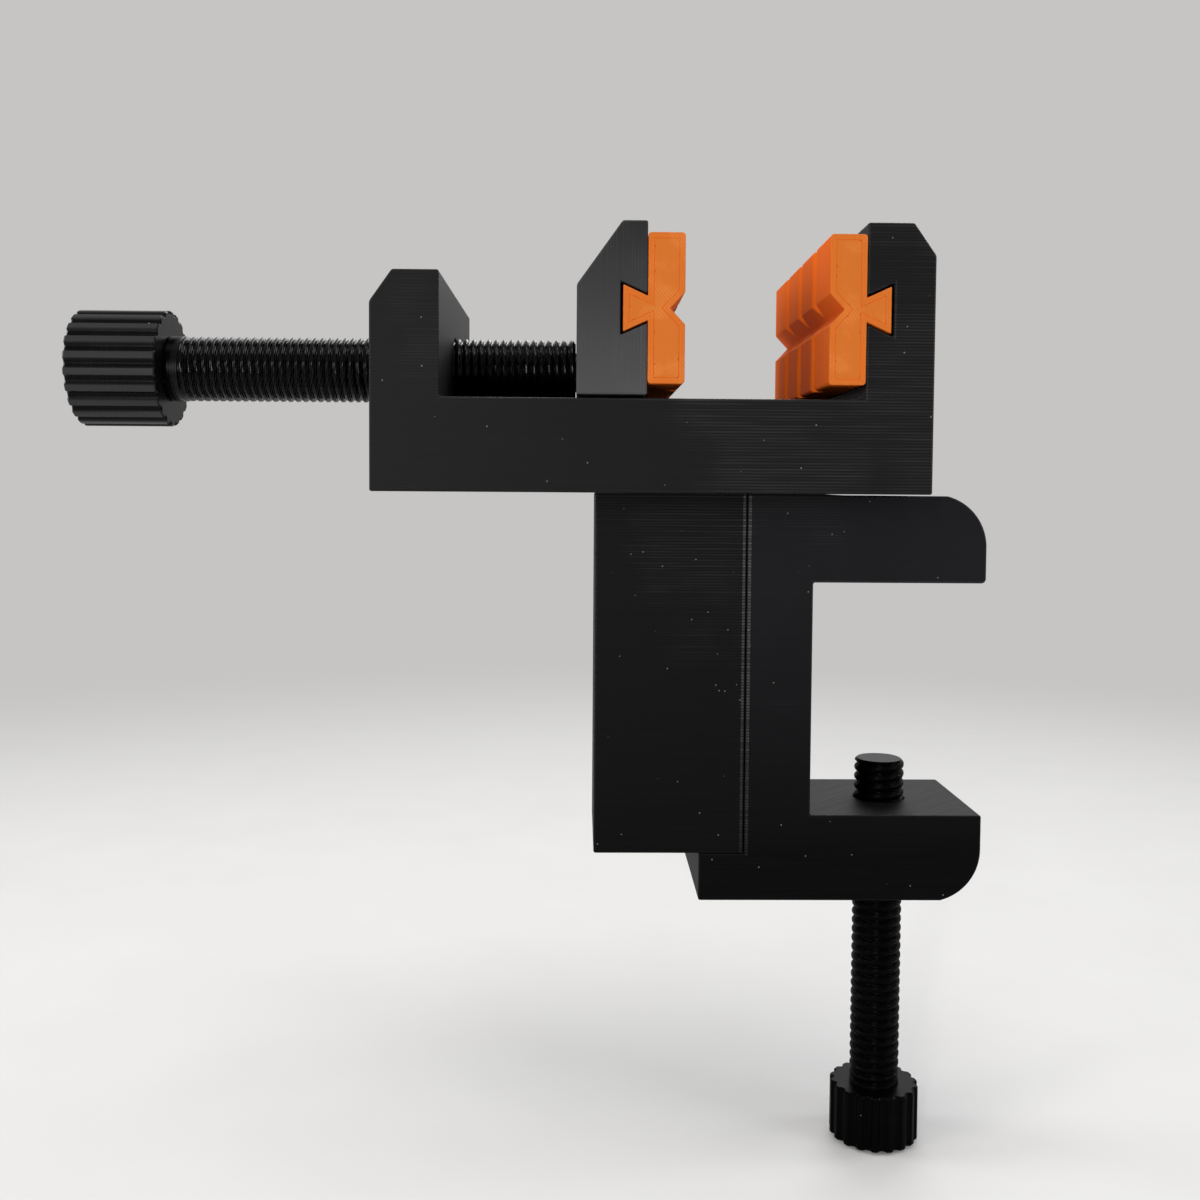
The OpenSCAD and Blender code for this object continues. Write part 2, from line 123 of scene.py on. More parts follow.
def black_plastic(name, body, streak, low=None, span=(-1, 0), lay=(0, 0, 0), strength=1.0,
                  painted_light_slope=(0, 0, 0), offset=0.0, rough=0.5, gloss=0.22, dust=0.5):
    """Black PLA as printed: satin, a faint streak along every layer, slanted fill beads on the faces
    that close a print, a few specks of pale dust.
    body is the tone at the upper end of the height span and low the tone at its lower end: painted light
    and shade that runs up the height. lay turns the direction in which the layers are stacked onto the
    pattern's own Z axis. The streaks also gain a set amount per metre along each axis, from offset at
    the origin: painted light that makes one side of a part paler."""
    material, tree = bare_material(name)
    coords = add(tree, "ShaderNodeTexCoord").outputs
    place = coords["Object"]
    in_mm = add(tree, "ShaderNodeMapping",
                {"Vector": place, "Rotation": lay, "Scale": (1 / MM,) * 3}).outputs[0]
    # Faces square to the layers show the fill, whose beads run at 45 degrees
    facing = add(tree, "ShaderNodeMapping", {"Vector": coords["Normal"], "Rotation": lay}).outputs[0]
    facing = add(tree, "ShaderNodeSeparateXYZ", {0: facing}).outputs["Z"]
    facing = add(tree, "ShaderNodeMath", {0: facing}, operation="ABSOLUTE").outputs[0]
    closing = add(tree, "ShaderNodeMath", {0: facing, 1: SQUARE_ON}, operation="GREATER_THAN").outputs[0]
    slanted = add(tree, "ShaderNodeMapping",
                  {"Vector": in_mm, "Rotation": (math.pi / 2, math.pi / 4, 0)}).outputs[0]
    drawn = add(tree, "ShaderNodeMix", {"Factor": closing, 4: in_mm, 5: slanted},
                data_type="VECTOR").outputs[1]
    # Layers are 0.2 mm high, which is too fine to show, so a line is drawn every 0.44 mm
    line = 0.44
    height = add(tree, "ShaderNodeSeparateXYZ", {0: drawn}).outputs["Z"]
    fold = in_repeat(tree, height, 1 / line)
    side = add(tree, "ShaderNodeMath", {0: fold}, operation="ABSOLUTE").outputs[0]
    bead = add(tree, "ShaderNodeMapRange",
               {0: side, 1: 0.1, 2: 0.45, 3: 1.0, 4: 0.0}, interpolation_type="SMOOTHSTEP").outputs[0]
    # Every layer has its own tone, which drifts over some 14 mm along it
    drift = 1 / 14
    stretched = add(tree, "ShaderNodeMapping",
                    {"Vector": drawn, "Scale": (drift, drift, 1 / line)}).outputs[0]
    tone = add(tree, "ShaderNodeTexNoise",
               {"Vector": stretched, "Scale": 1.0, "Detail": 1.0, "Roughness": 0.5}).outputs[0]
    # Whole areas, some 16 mm across, print smoother or rougher
    area_size = 16
    patch = add(tree, "ShaderNodeTexNoise",
                {"Vector": in_mm, "Scale": 1 / area_size, "Detail": 2.0}).outputs[0]
    # Painted light: the streaks grow stronger along a set slope, so one side of a part reads paler
    gain = add(tree, "ShaderNodeVectorMath", {0: place, 1: painted_light_slope},
               operation="DOT_PRODUCT").outputs["Value"]
    patch = add(tree, "ShaderNodeMath", {0: patch, 1: gain}, operation="ADD").outputs[0]
    patch = add(tree, "ShaderNodeMath", {0: patch, 1: offset}, operation="ADD").outputs[0]
    own = add(tree, "ShaderNodeMapRange", {0: tone, 1: 0.36, 2: 0.7, 3: 0.28, 4: 1.0}).outputs[0]
    area = add(tree, "ShaderNodeMapRange", {0: patch, 1: 0.4, 2: 0.62, 3: 0.12, 4: 1.0},
               interpolation_type="SMOOTHSTEP").outputs[0]
    area = add(tree, "ShaderNodeMath", {0: area, 1: closing}, operation="MAXIMUM").outputs[0]
    streaks = add(tree, "ShaderNodeMath", {0: own, 1: bead}, operation="MULTIPLY").outputs[0]
    shown = add(tree, "ShaderNodeMath", {0: streaks, 1: area}, operation="MULTIPLY").outputs[0]
    shown = add(tree, "ShaderNodeMath", {0: shown, 1: strength}, operation="MULTIPLY",
                use_clamp=True).outputs[0]
    # Painted light and shade: the tone runs from low to body up the height span
    upright = add(tree, "ShaderNodeSeparateXYZ", {0: place}).outputs["Z"]
    rise = add(tree, "ShaderNodeMapRange", {0: upright, 1: span[0], 2: span[1]}).outputs[0]
    # A painted highlight makes every eased edge paler, broken up layer by layer and stronger high up
    edge = add(tree, "ShaderNodeAttribute", attribute_name="eased").outputs["Fac"]
    ticks = add(tree, "ShaderNodeMapRange", {0: streaks, 1: 0.1, 2: 0.75, 3: 0.2, 4: 1.0}).outputs[0]
    edge = add(tree, "ShaderNodeMath", {0: edge, 1: ticks}, operation="MULTIPLY").outputs[0]
    edge_highlight_rise = add(tree, "ShaderNodeMapRange", {0: rise, 3: 0.12, 4: 0.52}).outputs[0]
    edge = add(tree, "ShaderNodeMath", {0: edge, 1: edge_highlight_rise}, operation="MULTIPLY").outputs[0]
    # A painted highlight makes the lands of a knob paler than its flutes
    land_highlight = add(tree, "ShaderNodeAttribute", attribute_name="land_highlight").outputs["Fac"]
    # Dust specks of 0.1 to 0.2 mm, some 1.8 mm apart, of which only a share is kept
    apart = 1.8
    cells = add(tree, "ShaderNodeTexVoronoi",
                {"Vector": in_mm, "Scale": 1 / apart, "Randomness": 1.0})
    chance = add(tree, "ShaderNodeSeparateColor", {0: cells.outputs["Color"]}).outputs
    kept = add(tree, "ShaderNodeMath", {0: chance[0], 1: dust}, operation="LESS_THAN").outputs[0]
    pale = add(tree, "ShaderNodeMapRange", {0: chance[1], 3: 0.2, 4: 1.0}).outputs[0]
    near = add(tree, "ShaderNodeMapRange",
               {0: cells.outputs["Distance"], 1: 0.04, 2: 0.07, 3: 1.0, 4: 0.0}).outputs[0]
    speck = add(tree, "ShaderNodeMath", {0: near, 1: kept}, operation="MULTIPLY").outputs[0]
    speck = add(tree, "ShaderNodeMath", {0: speck, 1: pale}, operation="MULTIPLY").outputs[0]
    colour = linear(low or body)
    for share, paler in ((rise, body), (shown, streak), (edge, EDGE_HIGHLIGHT_TONE), (land_highlight, LAND_HIGHLIGHT_TONE),
                         (speck, DUST_TONE)):
        colour = add(tree, "ShaderNodeMix", {"Factor": share, 6: colour, 7: linear(paler)},
                     data_type="RGBA").outputs[2]
    satin = add(tree, "ShaderNodeMapRange",
                {0: shown, 1: 0.0, 2: 1.0, 3: rough + 0.04, 4: rough - 0.08}).outputs[0]
    relief = add(tree, "ShaderNodeMath", {0: bead, 1: area}, operation="MULTIPLY").outputs[0]
    bump = add(tree, "ShaderNodeBump",
               {"Height": relief, "Strength": 0.3, "Distance": 0.03 * MM}).outputs[0]
    shader = add(tree, "ShaderNodeBsdfPrincipled",
                 {"Base Color": colour, "Roughness": satin, "IOR": 1.46,
                  "Specular IOR Level": gloss, "Normal": bump}).outputs[0]
    add(tree, "ShaderNodeOutputMaterial", {"Surface": shader})
    return material


def printed_block(name, node, ease, holes=()):
    """A copy of a solid, joined up, its flat faces made whole and its edges eased as a nozzle does.
    holes lists the (x, y, radius) of upright holes that are too close together for easing."""
    shape = bmesh.new()
    shape.from_mesh(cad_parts[node].data)
    mark = shape.faces.layers.float.new("eased")
    bmesh.ops.remove_doubles(shape, verts=shape.verts, dist=BLOCK_WELD)
    bmesh.ops.dissolve_limit(shape, angle_limit=FLAT_ANGLE, verts=shape.verts, edges=shape.edges)
    corners = []
    for edge in shape.edges:
        spot = edge.verts[0].co
        in_hole = any(math.hypot(spot.x - x, spot.y - y) < r for x, y, r in holes)
        if len(edge.link_faces) == 2 and edge.calc_face_angle(0) > CORNER_ANGLE and not in_hole:
            corners.append(edge)
    eased = bmesh.ops.bevel(shape, geom=corners, offset=ease, segments=2, profile=0.5,
                            affect="EDGES", clamp_overlap=False)["faces"]
    # Eased faces are marked for a painted edge highlight
    for face in eased:
        face[mark] = EDGE_HIGHLIGHT
    mesh = bpy.data.meshes.new(name)
    shape.to_mesh(mesh)
    shape.free()
    # The solid brings its own shading normals, which do not fit the eased edges
    mesh.attributes.remove(mesh.attributes["custom_normal"])
    return mesh


def place_piece(name, mesh, material, body, node, crease=20):
    """Puts a finished mesh in the scene as a piece that rides on a body in place of its solid.
    Edges over the crease angle, in degrees, are shaded sharp."""
    mesh.materials.clear()
    mesh.materials.append(material)
    mesh.shade_smooth()
    mesh.set_sharp_from_angle(angle=math.radians(crease))
    piece = bpy.data.objects.new(name, mesh)
    bpy.context.scene.collection.objects.link(piece)
    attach(piece, body)
    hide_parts(node)


def widen_seam(mesh, face_x, toward):
    """Widens the eases of the two upright edges beside the seam between post and clamp: a lip that
    carries a full painted highlight, broken up layer by layer, and a steep wall into the dark of the
    seam."""
    for vertex in mesh.vertices:
        inward = CLAMP_W / 2 - abs(vertex.co.y)
        along = (vertex.co.x - face_x) * toward
        if inward < WELD and abs(along - BLOCK_EASE) < BLOCK_WELD:
            vertex.co.x = face_x + toward * SEAM_LIP
        elif WELD < inward < BLOCK_EASE / 2 and WELD < along < BLOCK_EASE / 2:
            vertex.co.x = face_x + toward * SEAM_HALF
            vertex.co.y = math.copysign(CLAMP_W / 2 - SEAM_DEEP, vertex.co.y)
    # The lip gets the full painted highlight and the wall none
    mark = mesh.attributes["eased"].data
    for face in mesh.polygons:
        spots = [mesh.vertices[i].co for i in face.vertices]
        reach = [(spot.x - face_x) * toward for spot in spots]
        if mark[face.index].value and -WELD < min(reach) and max(reach) < SEAM_LIP + WELD:
            mark[face.index].value = 1.0 if max(reach) > SEAM_LIP - WELD else 0.0


def lift_arm(mesh):
    """Lifts the upper arm's top next to the spine, and runs the lift out between two places, so that
    light shows only under the bed's far end."""
    shape = bmesh.new()
    shape.from_mesh(mesh)
    mark = shape.faces.layers.float["eased"]
    for x in LIFT_X:
        top = [f for f in shape.faces if f.calc_center_median().z > ARM_TOP_Z - BLOCK_EASE]
        around = set(top) | {e for f in top for e in f.edges} | {v for f in top for v in f.verts}
        bmesh.ops.bisect_plane(shape, geom=list(around), dist=WELD, plane_co=(x, 0, 0),
                               plane_no=(1, 0, 0))
    for vertex in shape.verts:
        if vertex.co.z > ARM_TOP_Z - 2 * BLOCK_EASE and vertex.co.x < LIFT_X[0] + WELD:
            vertex.co.z += ARM_LIFT
    # The arm's top keeps no painted edge highlight
    for face in shape.faces:
        if face.calc_center_median().z > ARM_TOP_Z - BLOCK_EASE:
            face[mark] = 0.0
    shape.to_mesh(mesh)
    shape.free()


# Painted shade darkens the clamp towards its lower arm, and painted light makes its streaks stronger
# towards its left and its top
clamp_black = black_plastic("black_pla_clamp", "#18181A", "#2C2C2E", low="#020203",
                            span=(-0.042, 0.0), painted_light_slope=(-10, 0, 8), offset=-0.2, strength=0.46,
                            gloss=0.05, dust=0.25)
clamp_mesh = printed_block("clamp_frame_print", "clamp_frame", BLOCK_EASE)
widen_seam(clamp_mesh, SPINE_X, 1)
lift_arm(clamp_mesh)
place_piece("clamp_frame_print", clamp_mesh, clamp_black, "clamp", "clamp_frame",
            BLOCK_CREASE)


# Clamp screw
# Upright screw through the lower arm, with a coarse rounded thread and a bare flat tip.
# Black PLA, printed standing; a hexagonal tenon at its lower end carries the knob.
CLAMP_PITCH = 1.5 * MM
LAYER = 0.2 * MM
TENON_AF = 6.0 * MM
TENON_LEN = 6.0 * MM
TENON_EASE = 0.3 * MM
KNOB_GAP = 0.05 * MM
CLAMP_SCREW_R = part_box("clamp_screw")[1].x
CLAMP_TIP_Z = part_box("clamp_screw")[1].z
CLAMP_KNOB_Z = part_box("clamp_knob")[1].z + KNOB_GAP
STAND = Matrix(((0, 1, 0, 0), (0, 0, 1, 0), (1, 0, 0, 0), (0, 0, 0, 1)))


def open_tree(name, **inputs):
    """Starts a geometry node tree with inputs named by their kind, and gives it and its inputs."""
    tree = bpy.data.node_groups.new(name, "GeometryNodeTree")
    for kind, labels in inputs.items():
        for label in labels:
            tree.interface.new_socket(label, in_out="INPUT", socket_type="NodeSocket" + kind)
    tree.interface.new_socket("Geometry", in_out="OUTPUT", socket_type="NodeSocketGeometry")
    return tree, add(tree, "NodeGroupInput").outputs


def close_tree(tree, geometry, material):
    """Ends a geometry node tree: its instances are made real and its material is set."""
    real = add(tree, "GeometryNodeRealizeInstances", {0: geometry})
    done = add(tree, "GeometryNodeSetMaterial", {"Geometry": real.outputs[0], "Material": material})
    add(tree, "NodeGroupOutput", {0: done.outputs[0]})


def polar(tree, radius, angle):
    """The two coordinates of a point at a radius and an angle."""
    pair = []
    for way in ("COSINE", "SINE"):
        turned = add(tree, "ShaderNodeMath", {0: angle}, operation=way).outputs[0]
        pair.append(add(tree, "ShaderNodeMath", {0: radius, 1: turned}, operation="MULTIPLY").outputs[0])
    return pair


def roll_up(tree, grid, along, radius, angle, material):
    """Rolls a flat grid up round the X axis, welds its seam and its ends, and ends the tree."""
    y, z = polar(tree, radius, angle)
    point = add(tree, "ShaderNodeCombineXYZ", {0: along, 1: y, 2: z}).outputs[0]
    rolled = add(tree, "GeometryNodeSetPosition", {"Geometry": grid, "Position": point})
    welded = add(tree, "GeometryNodeMergeByDistance", {"Geometry": rolled.outputs[0], "Distance": WELD})
    close_tree(tree, welded.outputs[0], material)


def thread_tree():
    """Geometry nodes for a printed thread along +X: rows follow the helix, so crests stay clean."""
    tree, given = open_tree(
        "printed_thread", Float=("Length", "Radius", "Pitch", "Depth", "Roundness", "Run-out",
                                 "Tip bevel", "First crest", "Layer", "Unevenness"),
        Int=("Rows per turn", "Steps round"), Material=("Material",))
    turns = add(tree, "ShaderNodeMath", {0: given["Length"], 1: given["Pitch"]},
                operation="DIVIDE").outputs[0]
    whole = add(tree, "ShaderNodeMath", {0: turns}, operation="CEIL").outputs[0]
    spare = add(tree, "ShaderNodeMath", {0: whole, 1: 2.0}, operation="ADD").outputs[0]
    # One row more at each end closes the end on the axis
    spans = add(tree, "ShaderNodeMath", {0: spare, 1: given["Rows per turn"], 2: 2.0},
                operation="MULTIPLY_ADD").outputs[0]
    rows = add(tree, "ShaderNodeMath", {0: spans, 1: 1.0}, operation="ADD").outputs[0]
    cols = add(tree, "ShaderNodeMath", {0: given["Steps round"], 1: 1.0}, operation="ADD").outputs[0]
    grid = add(tree, "GeometryNodeMeshGrid",
               {"Size X": spans, "Size Y": 1.0, "Vertices X": rows, "Vertices Y": cols})
    flat = add(tree, "ShaderNodeSeparateXYZ",
               {0: add(tree, "GeometryNodeInputPosition").outputs[0]}).outputs
    half = add(tree, "ShaderNodeMath", {0: spans, 1: 0.5}, operation="MULTIPLY").outputs[0]
    row = add(tree, "ShaderNodeMath", {0: flat["X"], 1: half}, operation="ADD").outputs[0]
    for early in (given["Rows per turn"], 1.0):
        row = add(tree, "ShaderNodeMath", {0: row, 1: early}, operation="SUBTRACT").outputs[0]
    share = add(tree, "ShaderNodeMath", {0: flat["Y"], 1: 0.5}, operation="ADD").outputs[0]
    angle = add(tree, "ShaderNodeMath", {0: share, 1: math.tau}, operation="MULTIPLY").outputs[0]
    # Place along the screw: the turn that a row is in, times the pitch, kept between the two ends
    along = row
    for way, other in (("DIVIDE", given["Rows per turn"]), ("ADD", share), ("MULTIPLY", given["Pitch"]),
                       ("MAXIMUM", 0.0), ("MINIMUM", given["Length"])):
        along = add(tree, "ShaderNodeMath", {0: along, 1: other}, operation=way).outputs[0]
    # Every layer keeps the outline of its middle, so the thread climbs in small steps
    layer = add(tree, "ShaderNodeMath", {0: along, 1: given["Layer"]}, operation="SNAP").outputs[0]
    layer = add(tree, "ShaderNodeMath", {0: given["Layer"], 1: 0.5, 2: layer},
                operation="MULTIPLY_ADD").outputs[0]
    step = add(tree, "ShaderNodeMix", {0: 0.8, 2: along, 3: layer}).outputs[0]
    # Place within one turn of the thread: 0 and 1 are the root, 0.5 is the crest
    phase = step
    for way, other in (("SUBTRACT", given["First crest"]), ("DIVIDE", given["Pitch"]),
                       ("SUBTRACT", share), ("ADD", 0.5)):
        phase = add(tree, "ShaderNodeMath", {0: phase, 1: other}, operation=way).outputs[0]
    phase = add(tree, "ShaderNodeMath", {0: phase}, operation="FRACT").outputs[0]
    slant = add(tree, "ShaderNodeMath", {0: phase, 1: 2.0, 2: -1.0}, operation="MULTIPLY_ADD").outputs[0]
    slant = add(tree, "ShaderNodeMath", {0: slant}, operation="ABSOLUTE").outputs[0]
    slant = add(tree, "ShaderNodeMath", {0: slant, 1: given["Roundness"]}, operation="POWER").outputs[0]
    fade = add(tree, "ShaderNodeMath", {0: along, 1: given["Run-out"]}, operation="DIVIDE",
               use_clamp=True).outputs[0]
    cut = add(tree, "ShaderNodeMath", {0: slant, 1: given["Depth"]}, operation="MULTIPLY").outputs[0]
    # The printed bead wanders a little, inwards only, over some 0.6 mm
    wandering = 0.6 * MM
    y, z = polar(tree, given["Radius"], angle)
    around = add(tree, "ShaderNodeCombineXYZ", {0: along, 1: y, 2: z}).outputs[0]
    wander = add(tree, "ShaderNodeTexNoise",
                 {"Vector": around, "Scale": 1 / wandering, "Detail": 1.0}).outputs[0]
    wander = add(tree, "ShaderNodeMath", {0: wander, 1: given["Unevenness"]},
                 operation="MULTIPLY").outputs[0]
    cut = add(tree, "ShaderNodeMath", {0: cut, 1: wander}, operation="ADD").outputs[0]
    cut = add(tree, "ShaderNodeMath", {0: cut, 1: fade}, operation="MULTIPLY").outputs[0]
    radius = add(tree, "ShaderNodeMath", {0: given["Radius"], 1: cut}, operation="SUBTRACT").outputs[0]
    left = add(tree, "ShaderNodeMath", {0: given["Length"], 1: along}, operation="SUBTRACT").outputs[0]
    rim = add(tree, "ShaderNodeMath", {0: given["Radius"], 1: given["Tip bevel"]},
              operation="SUBTRACT").outputs[0]
    rim = add(tree, "ShaderNodeMath", {0: rim, 1: left}, operation="ADD").outputs[0]
    radius = add(tree, "ShaderNodeMath", {0: radius, 1: rim}, operation="MINIMUM").outputs[0]
    off_middle = add(tree, "ShaderNodeMath", {0: flat["X"]}, operation="ABSOLUTE").outputs[0]
    last = add(tree, "ShaderNodeMath", {0: half, 1: 0.5}, operation="SUBTRACT").outputs[0]
    inside = add(tree, "ShaderNodeMath", {0: off_middle, 1: last}, operation="LESS_THAN").outputs[0]
    radius = add(tree, "ShaderNodeMath", {0: radius, 1: inside}, operation="MULTIPLY").outputs[0]
    roll_up(tree, grid.outputs[0], along, radius, angle, given["Material"])
    return tree


def grown_mesh(name, tree, values):
    """Runs a node tree with named inputs and gives the result as a plain mesh, closed and outward."""
    holder = bpy.data.objects.new(name, bpy.data.meshes.new(name))
    bpy.context.scene.collection.objects.link(holder)
    modifier = holder.modifiers.new(tree.name, "NODES")
    modifier.node_group = tree
    for item in tree.interface.items_tree:
        if item.in_out == "INPUT" and item.name in values:
            modifier[item.identifier] = values[item.name]
    graph = bpy.context.evaluated_depsgraph_get()
    mesh = bpy.data.meshes.new_from_object(holder.evaluated_get(graph))
    mesh.name = name
    bpy.data.objects.remove(holder)
    shape = bmesh.new()
    shape.from_mesh(mesh)
    bmesh.ops.dissolve_degenerate(shape, dist=WELD, edges=shape.edges)
    bmesh.ops.recalc_face_normals(shape, faces=shape.faces)
    shape.to_mesh(mesh)
    shape.free()
    return mesh


def turned_shell(shape, outline, sides):
    """Adds a closed shell round the X axis to a bmesh: outline lists (x, radius) from end to end."""
    rings = []
    for x, r in outline:
        if r == 0:
            rings.append([shape.verts.new((x, 0, 0))] * sides)
            continue
        turn = [math.tau * i / sides for i in range(sides)]
        rings.append([shape.verts.new((x, r * math.cos(a), r * math.sin(a))) for a in turn])
    for low, high in zip(rings, rings[1:]):
        for i in range(sides):
            corners = [low[i], low[i - 1], high[i - 1], high[i]]
            shape.faces.new(list(dict.fromkeys(corners)))


def with_shells(mesh, shells, turn):
    """Adds turned shells to a thread's mesh, then turns and moves the whole into its place."""
    shape = bmesh.new()
    shape.from_mesh(mesh)
    for outline, sides in shells:
        turned_shell(shape, outline, sides)
    bmesh.ops.recalc_face_normals(shape, faces=shape.faces)
    bmesh.ops.transform(shape, matrix=turn, verts=shape.verts)
    shape.to_mesh(mesh)
    shape.free()
    return mesh


def tenon_outline(end):
    """Outline of a hexagonal tenon that ends at the given place and starts inside the thread."""
    corner = TENON_AF / 2 / math.cos(math.pi / 6)
    inside = TENON_LEN / 4
    return [(end, 0), (end, corner - TENON_EASE), (end + TENON_EASE, corner),
            (inside, corner), (inside, 0)]


thread = thread_tree()
thread_black = black_plastic("black_pla_clamp_thread", "#010102", "#0A0A0B", strength=0.3, rough=0.3,
                             gloss=0.03, dust=0.05)
clamp_thread = grown_mesh("clamp_screw_thread", thread, {
    "Length": CLAMP_TIP_Z - CLAMP_KNOB_Z, "Radius": CLAMP_SCREW_R, "Pitch": CLAMP_PITCH,
    "Depth": 0.58 * MM, "Roundness": 2.2, "Run-out": 0.3 * MM, "Tip bevel": 0.4 * MM,
    "First crest": 0.4 * MM, "Layer": LAYER, "Unevenness": 0.05 * MM, "Rows per turn": 20,
    "Steps round": 48, "Material": thread_black})
upright = Matrix.Translation((0, 0, CLAMP_KNOB_Z)) @ STAND
place_piece("clamp_screw_print",
            with_shells(clamp_thread, [(tenon_outline(-TENON_LEN), 6)], upright),
            thread_black, "clamp_spindle", "clamp_screw")


# Clamp knob
# Small fluted knob pushed onto the clamp screw's tenon from below.
# Black PLA, printed flat on its end, with scooped flutes and narrow lands between them.
CLAMP_KNOB_R = 7.15 * MM
CLAMP_KNOB_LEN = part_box("clamp_knob")[1].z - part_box("clamp_knob")[0].z
CLAMP_FLUTES = 18
FLUTE_STEPS = 16
FLUTE_DEPTH = 0.55 * MM
FLUTE_R = 0.9 * MM
KNOB_EASE = 0.25 * MM
BEAD = 0.42 * MM
PRESSED = 0.06 * MM
SOCKET_CLEAR = 0.06 * MM


def knob_tree():
    """Geometry nodes for a fluted knob along +X, with a hexagonal socket in its far end."""
    tree, given = open_tree(
        "fluted_knob", Float=("Length", "Radius", "Flute depth", "Flute radius", "Ease", "Outline bead",
                              "Pressed line", "Socket flats", "Socket depth"),
        Int=("Flutes", "Steps per flute"), Material=("Material",))
    steps = add(tree, "ShaderNodeMath", {0: given["Flutes"], 1: given["Steps per flute"], 2: 1.0},
                operation="MULTIPLY_ADD").outputs[0]
    rows = 11
    grid = add(tree, "GeometryNodeMeshGrid",
               {"Size X": rows - 1.0, "Size Y": 1.0, "Vertices X": rows, "Vertices Y": steps})
    flat = add(tree, "ShaderNodeSeparateXYZ",
               {0: add(tree, "GeometryNodeInputPosition").outputs[0]}).outputs
    row = add(tree, "ShaderNodeMath", {0: flat["X"], 1: (rows - 1) / 2}, operation="ADD").outputs[0]
    row = add(tree, "ShaderNodeMath", {0: row}, operation="ROUND").outputs[0]
    share = add(tree, "ShaderNodeMath", {0: flat["Y"], 1: 0.5}, operation="ADD").outputs[0]
    angle = add(tree, "ShaderNodeMath", {0: share, 1: math.tau}, operation="MULTIPLY").outputs[0]
    # Angle from the middle of the nearest flute
    swing = in_repeat(tree, share, given["Flutes"])
    swing = add(tree, "ShaderNodeMath", {0: swing, 1: math.tau}, operation="MULTIPLY").outputs[0]
    swing = add(tree, "ShaderNodeMath", {0: swing, 1: given["Flutes"]}, operation="DIVIDE").outputs[0]
    centre = add(tree, "ShaderNodeMath", {0: given["Radius"], 1: given["Flute depth"]},
                 operation="SUBTRACT").outputs[0]
    centre = add(tree, "ShaderNodeMath", {0: centre, 1: given["Flute radius"]},
                 operation="ADD").outputs[0]
    near, wide = polar(tree, centre, swing)
    wide = add(tree, "ShaderNodeMath", {0: wide, 1: 2.0}, operation="POWER").outputs[0]
    bite = add(tree, "ShaderNodeMath", {0: given["Flute radius"], 1: 2.0}, operation="POWER").outputs[0]
    bite = add(tree, "ShaderNodeMath", {0: bite, 1: wide}, operation="SUBTRACT").outputs[0]
    hit = add(tree, "ShaderNodeMath", {0: bite, 1: 0.0}, operation="GREATER_THAN").outputs[0]
    bite = add(tree, "ShaderNodeMath", {0: bite, 1: 0.0}, operation="MAXIMUM").outputs[0]
    bite = add(tree, "ShaderNodeMath", {0: bite}, operation="SQRT").outputs[0]
    scoop = add(tree, "ShaderNodeMath", {0: near, 1: bite}, operation="SUBTRACT").outputs[0]
    scoop = add(tree, "ShaderNodeMath", {0: scoop, 1: given["Radius"]}, operation="MINIMUM").outputs[0]
    side = add(tree, "ShaderNodeMix", {0: hit, 2: given["Radius"], 3: scoop}).outputs[0]
    eased = add(tree, "ShaderNodeMath", {0: side, 1: given["Ease"]}, operation="SUBTRACT").outputs[0]
    # A pressed line two beads inside the outline, where the fill of the end face begins
    pressed = add(tree, "ShaderNodeMath", {0: given["Outline bead"], 1: -2.0, 2: eased},
                  operation="MULTIPLY_ADD").outputs[0]
    outer = add(tree, "ShaderNodeMath", {0: pressed, 1: given["Pressed line"]},
                operation="ADD").outputs[0]
    inner = add(tree, "ShaderNodeMath", {0: pressed, 1: given["Pressed line"]},
                operation="SUBTRACT").outputs[0]
    # The hexagon's wall, from the angle to the middle of the nearest flat
    sixth = in_repeat(tree, share, 6.0)
    sixth = add(tree, "ShaderNodeMath", {0: sixth, 1: math.tau / 6}, operation="MULTIPLY").outputs[0]
    sixth = add(tree, "ShaderNodeMath", {0: sixth}, operation="COSINE").outputs[0]
    wall = add(tree, "ShaderNodeMath", {0: given["Socket flats"], 1: 0.5},
               operation="MULTIPLY").outputs[0]
    wall = add(tree, "ShaderNodeMath", {0: wall, 1: sixth}, operation="DIVIDE").outputs[0]
    far = given["Length"]
    shoulder = add(tree, "ShaderNodeMath", {0: far, 1: given["Ease"]}, operation="SUBTRACT").outputs[0]
    deep = add(tree, "ShaderNodeMath", {0: far, 1: given["Socket depth"]},
               operation="SUBTRACT").outputs[0]
    # Rows from the middle of the near end, over the rim and along the flutes, into the socket
    along = add(tree, "GeometryNodeIndexSwitch", {0: row}, data_type="FLOAT")
    radius = add(tree, "GeometryNodeIndexSwitch", {0: row}, data_type="FLOAT")
    stations = ((0.0, 0.0), (0.0, inner), (given["Pressed line"], pressed), (0.0, outer), (0.0, eased),
                (given["Ease"], side), (shoulder, side), (far, eased),
                (far, wall), (deep, wall), (deep, 0.0))
    for i, station in enumerate(stations):
        for switch, value in zip((along, radius), station):
            if i >= len(switch.index_switch_items):
                switch.index_switch_items.new()
            if isinstance(value, bpy.types.NodeSocket):
                tree.links.new(value, switch.inputs[1 + i])
            else:
                switch.inputs[1 + i].default_value = value
    roll_up(tree, grid.outputs[0], along.outputs[0], radius.outputs[0], angle, given["Material"])
    return tree


def fluted_knob(name, length, radius, flutes, material):
    """Grows a knob along +X, with the flutes, eases and socket that both knobs share."""
    return grown_mesh(name, fluted, {
        "Length": length, "Radius": radius, "Flutes": flutes, "Flute depth": FLUTE_DEPTH,
        "Flute radius": FLUTE_R, "Ease": KNOB_EASE, "Outline bead": BEAD, "Pressed line": PRESSED,
        "Socket flats": TENON_AF + 2 * SOCKET_CLEAR, "Socket depth": TENON_LEN,
        "Steps per flute": FLUTE_STEPS, "Material": material})


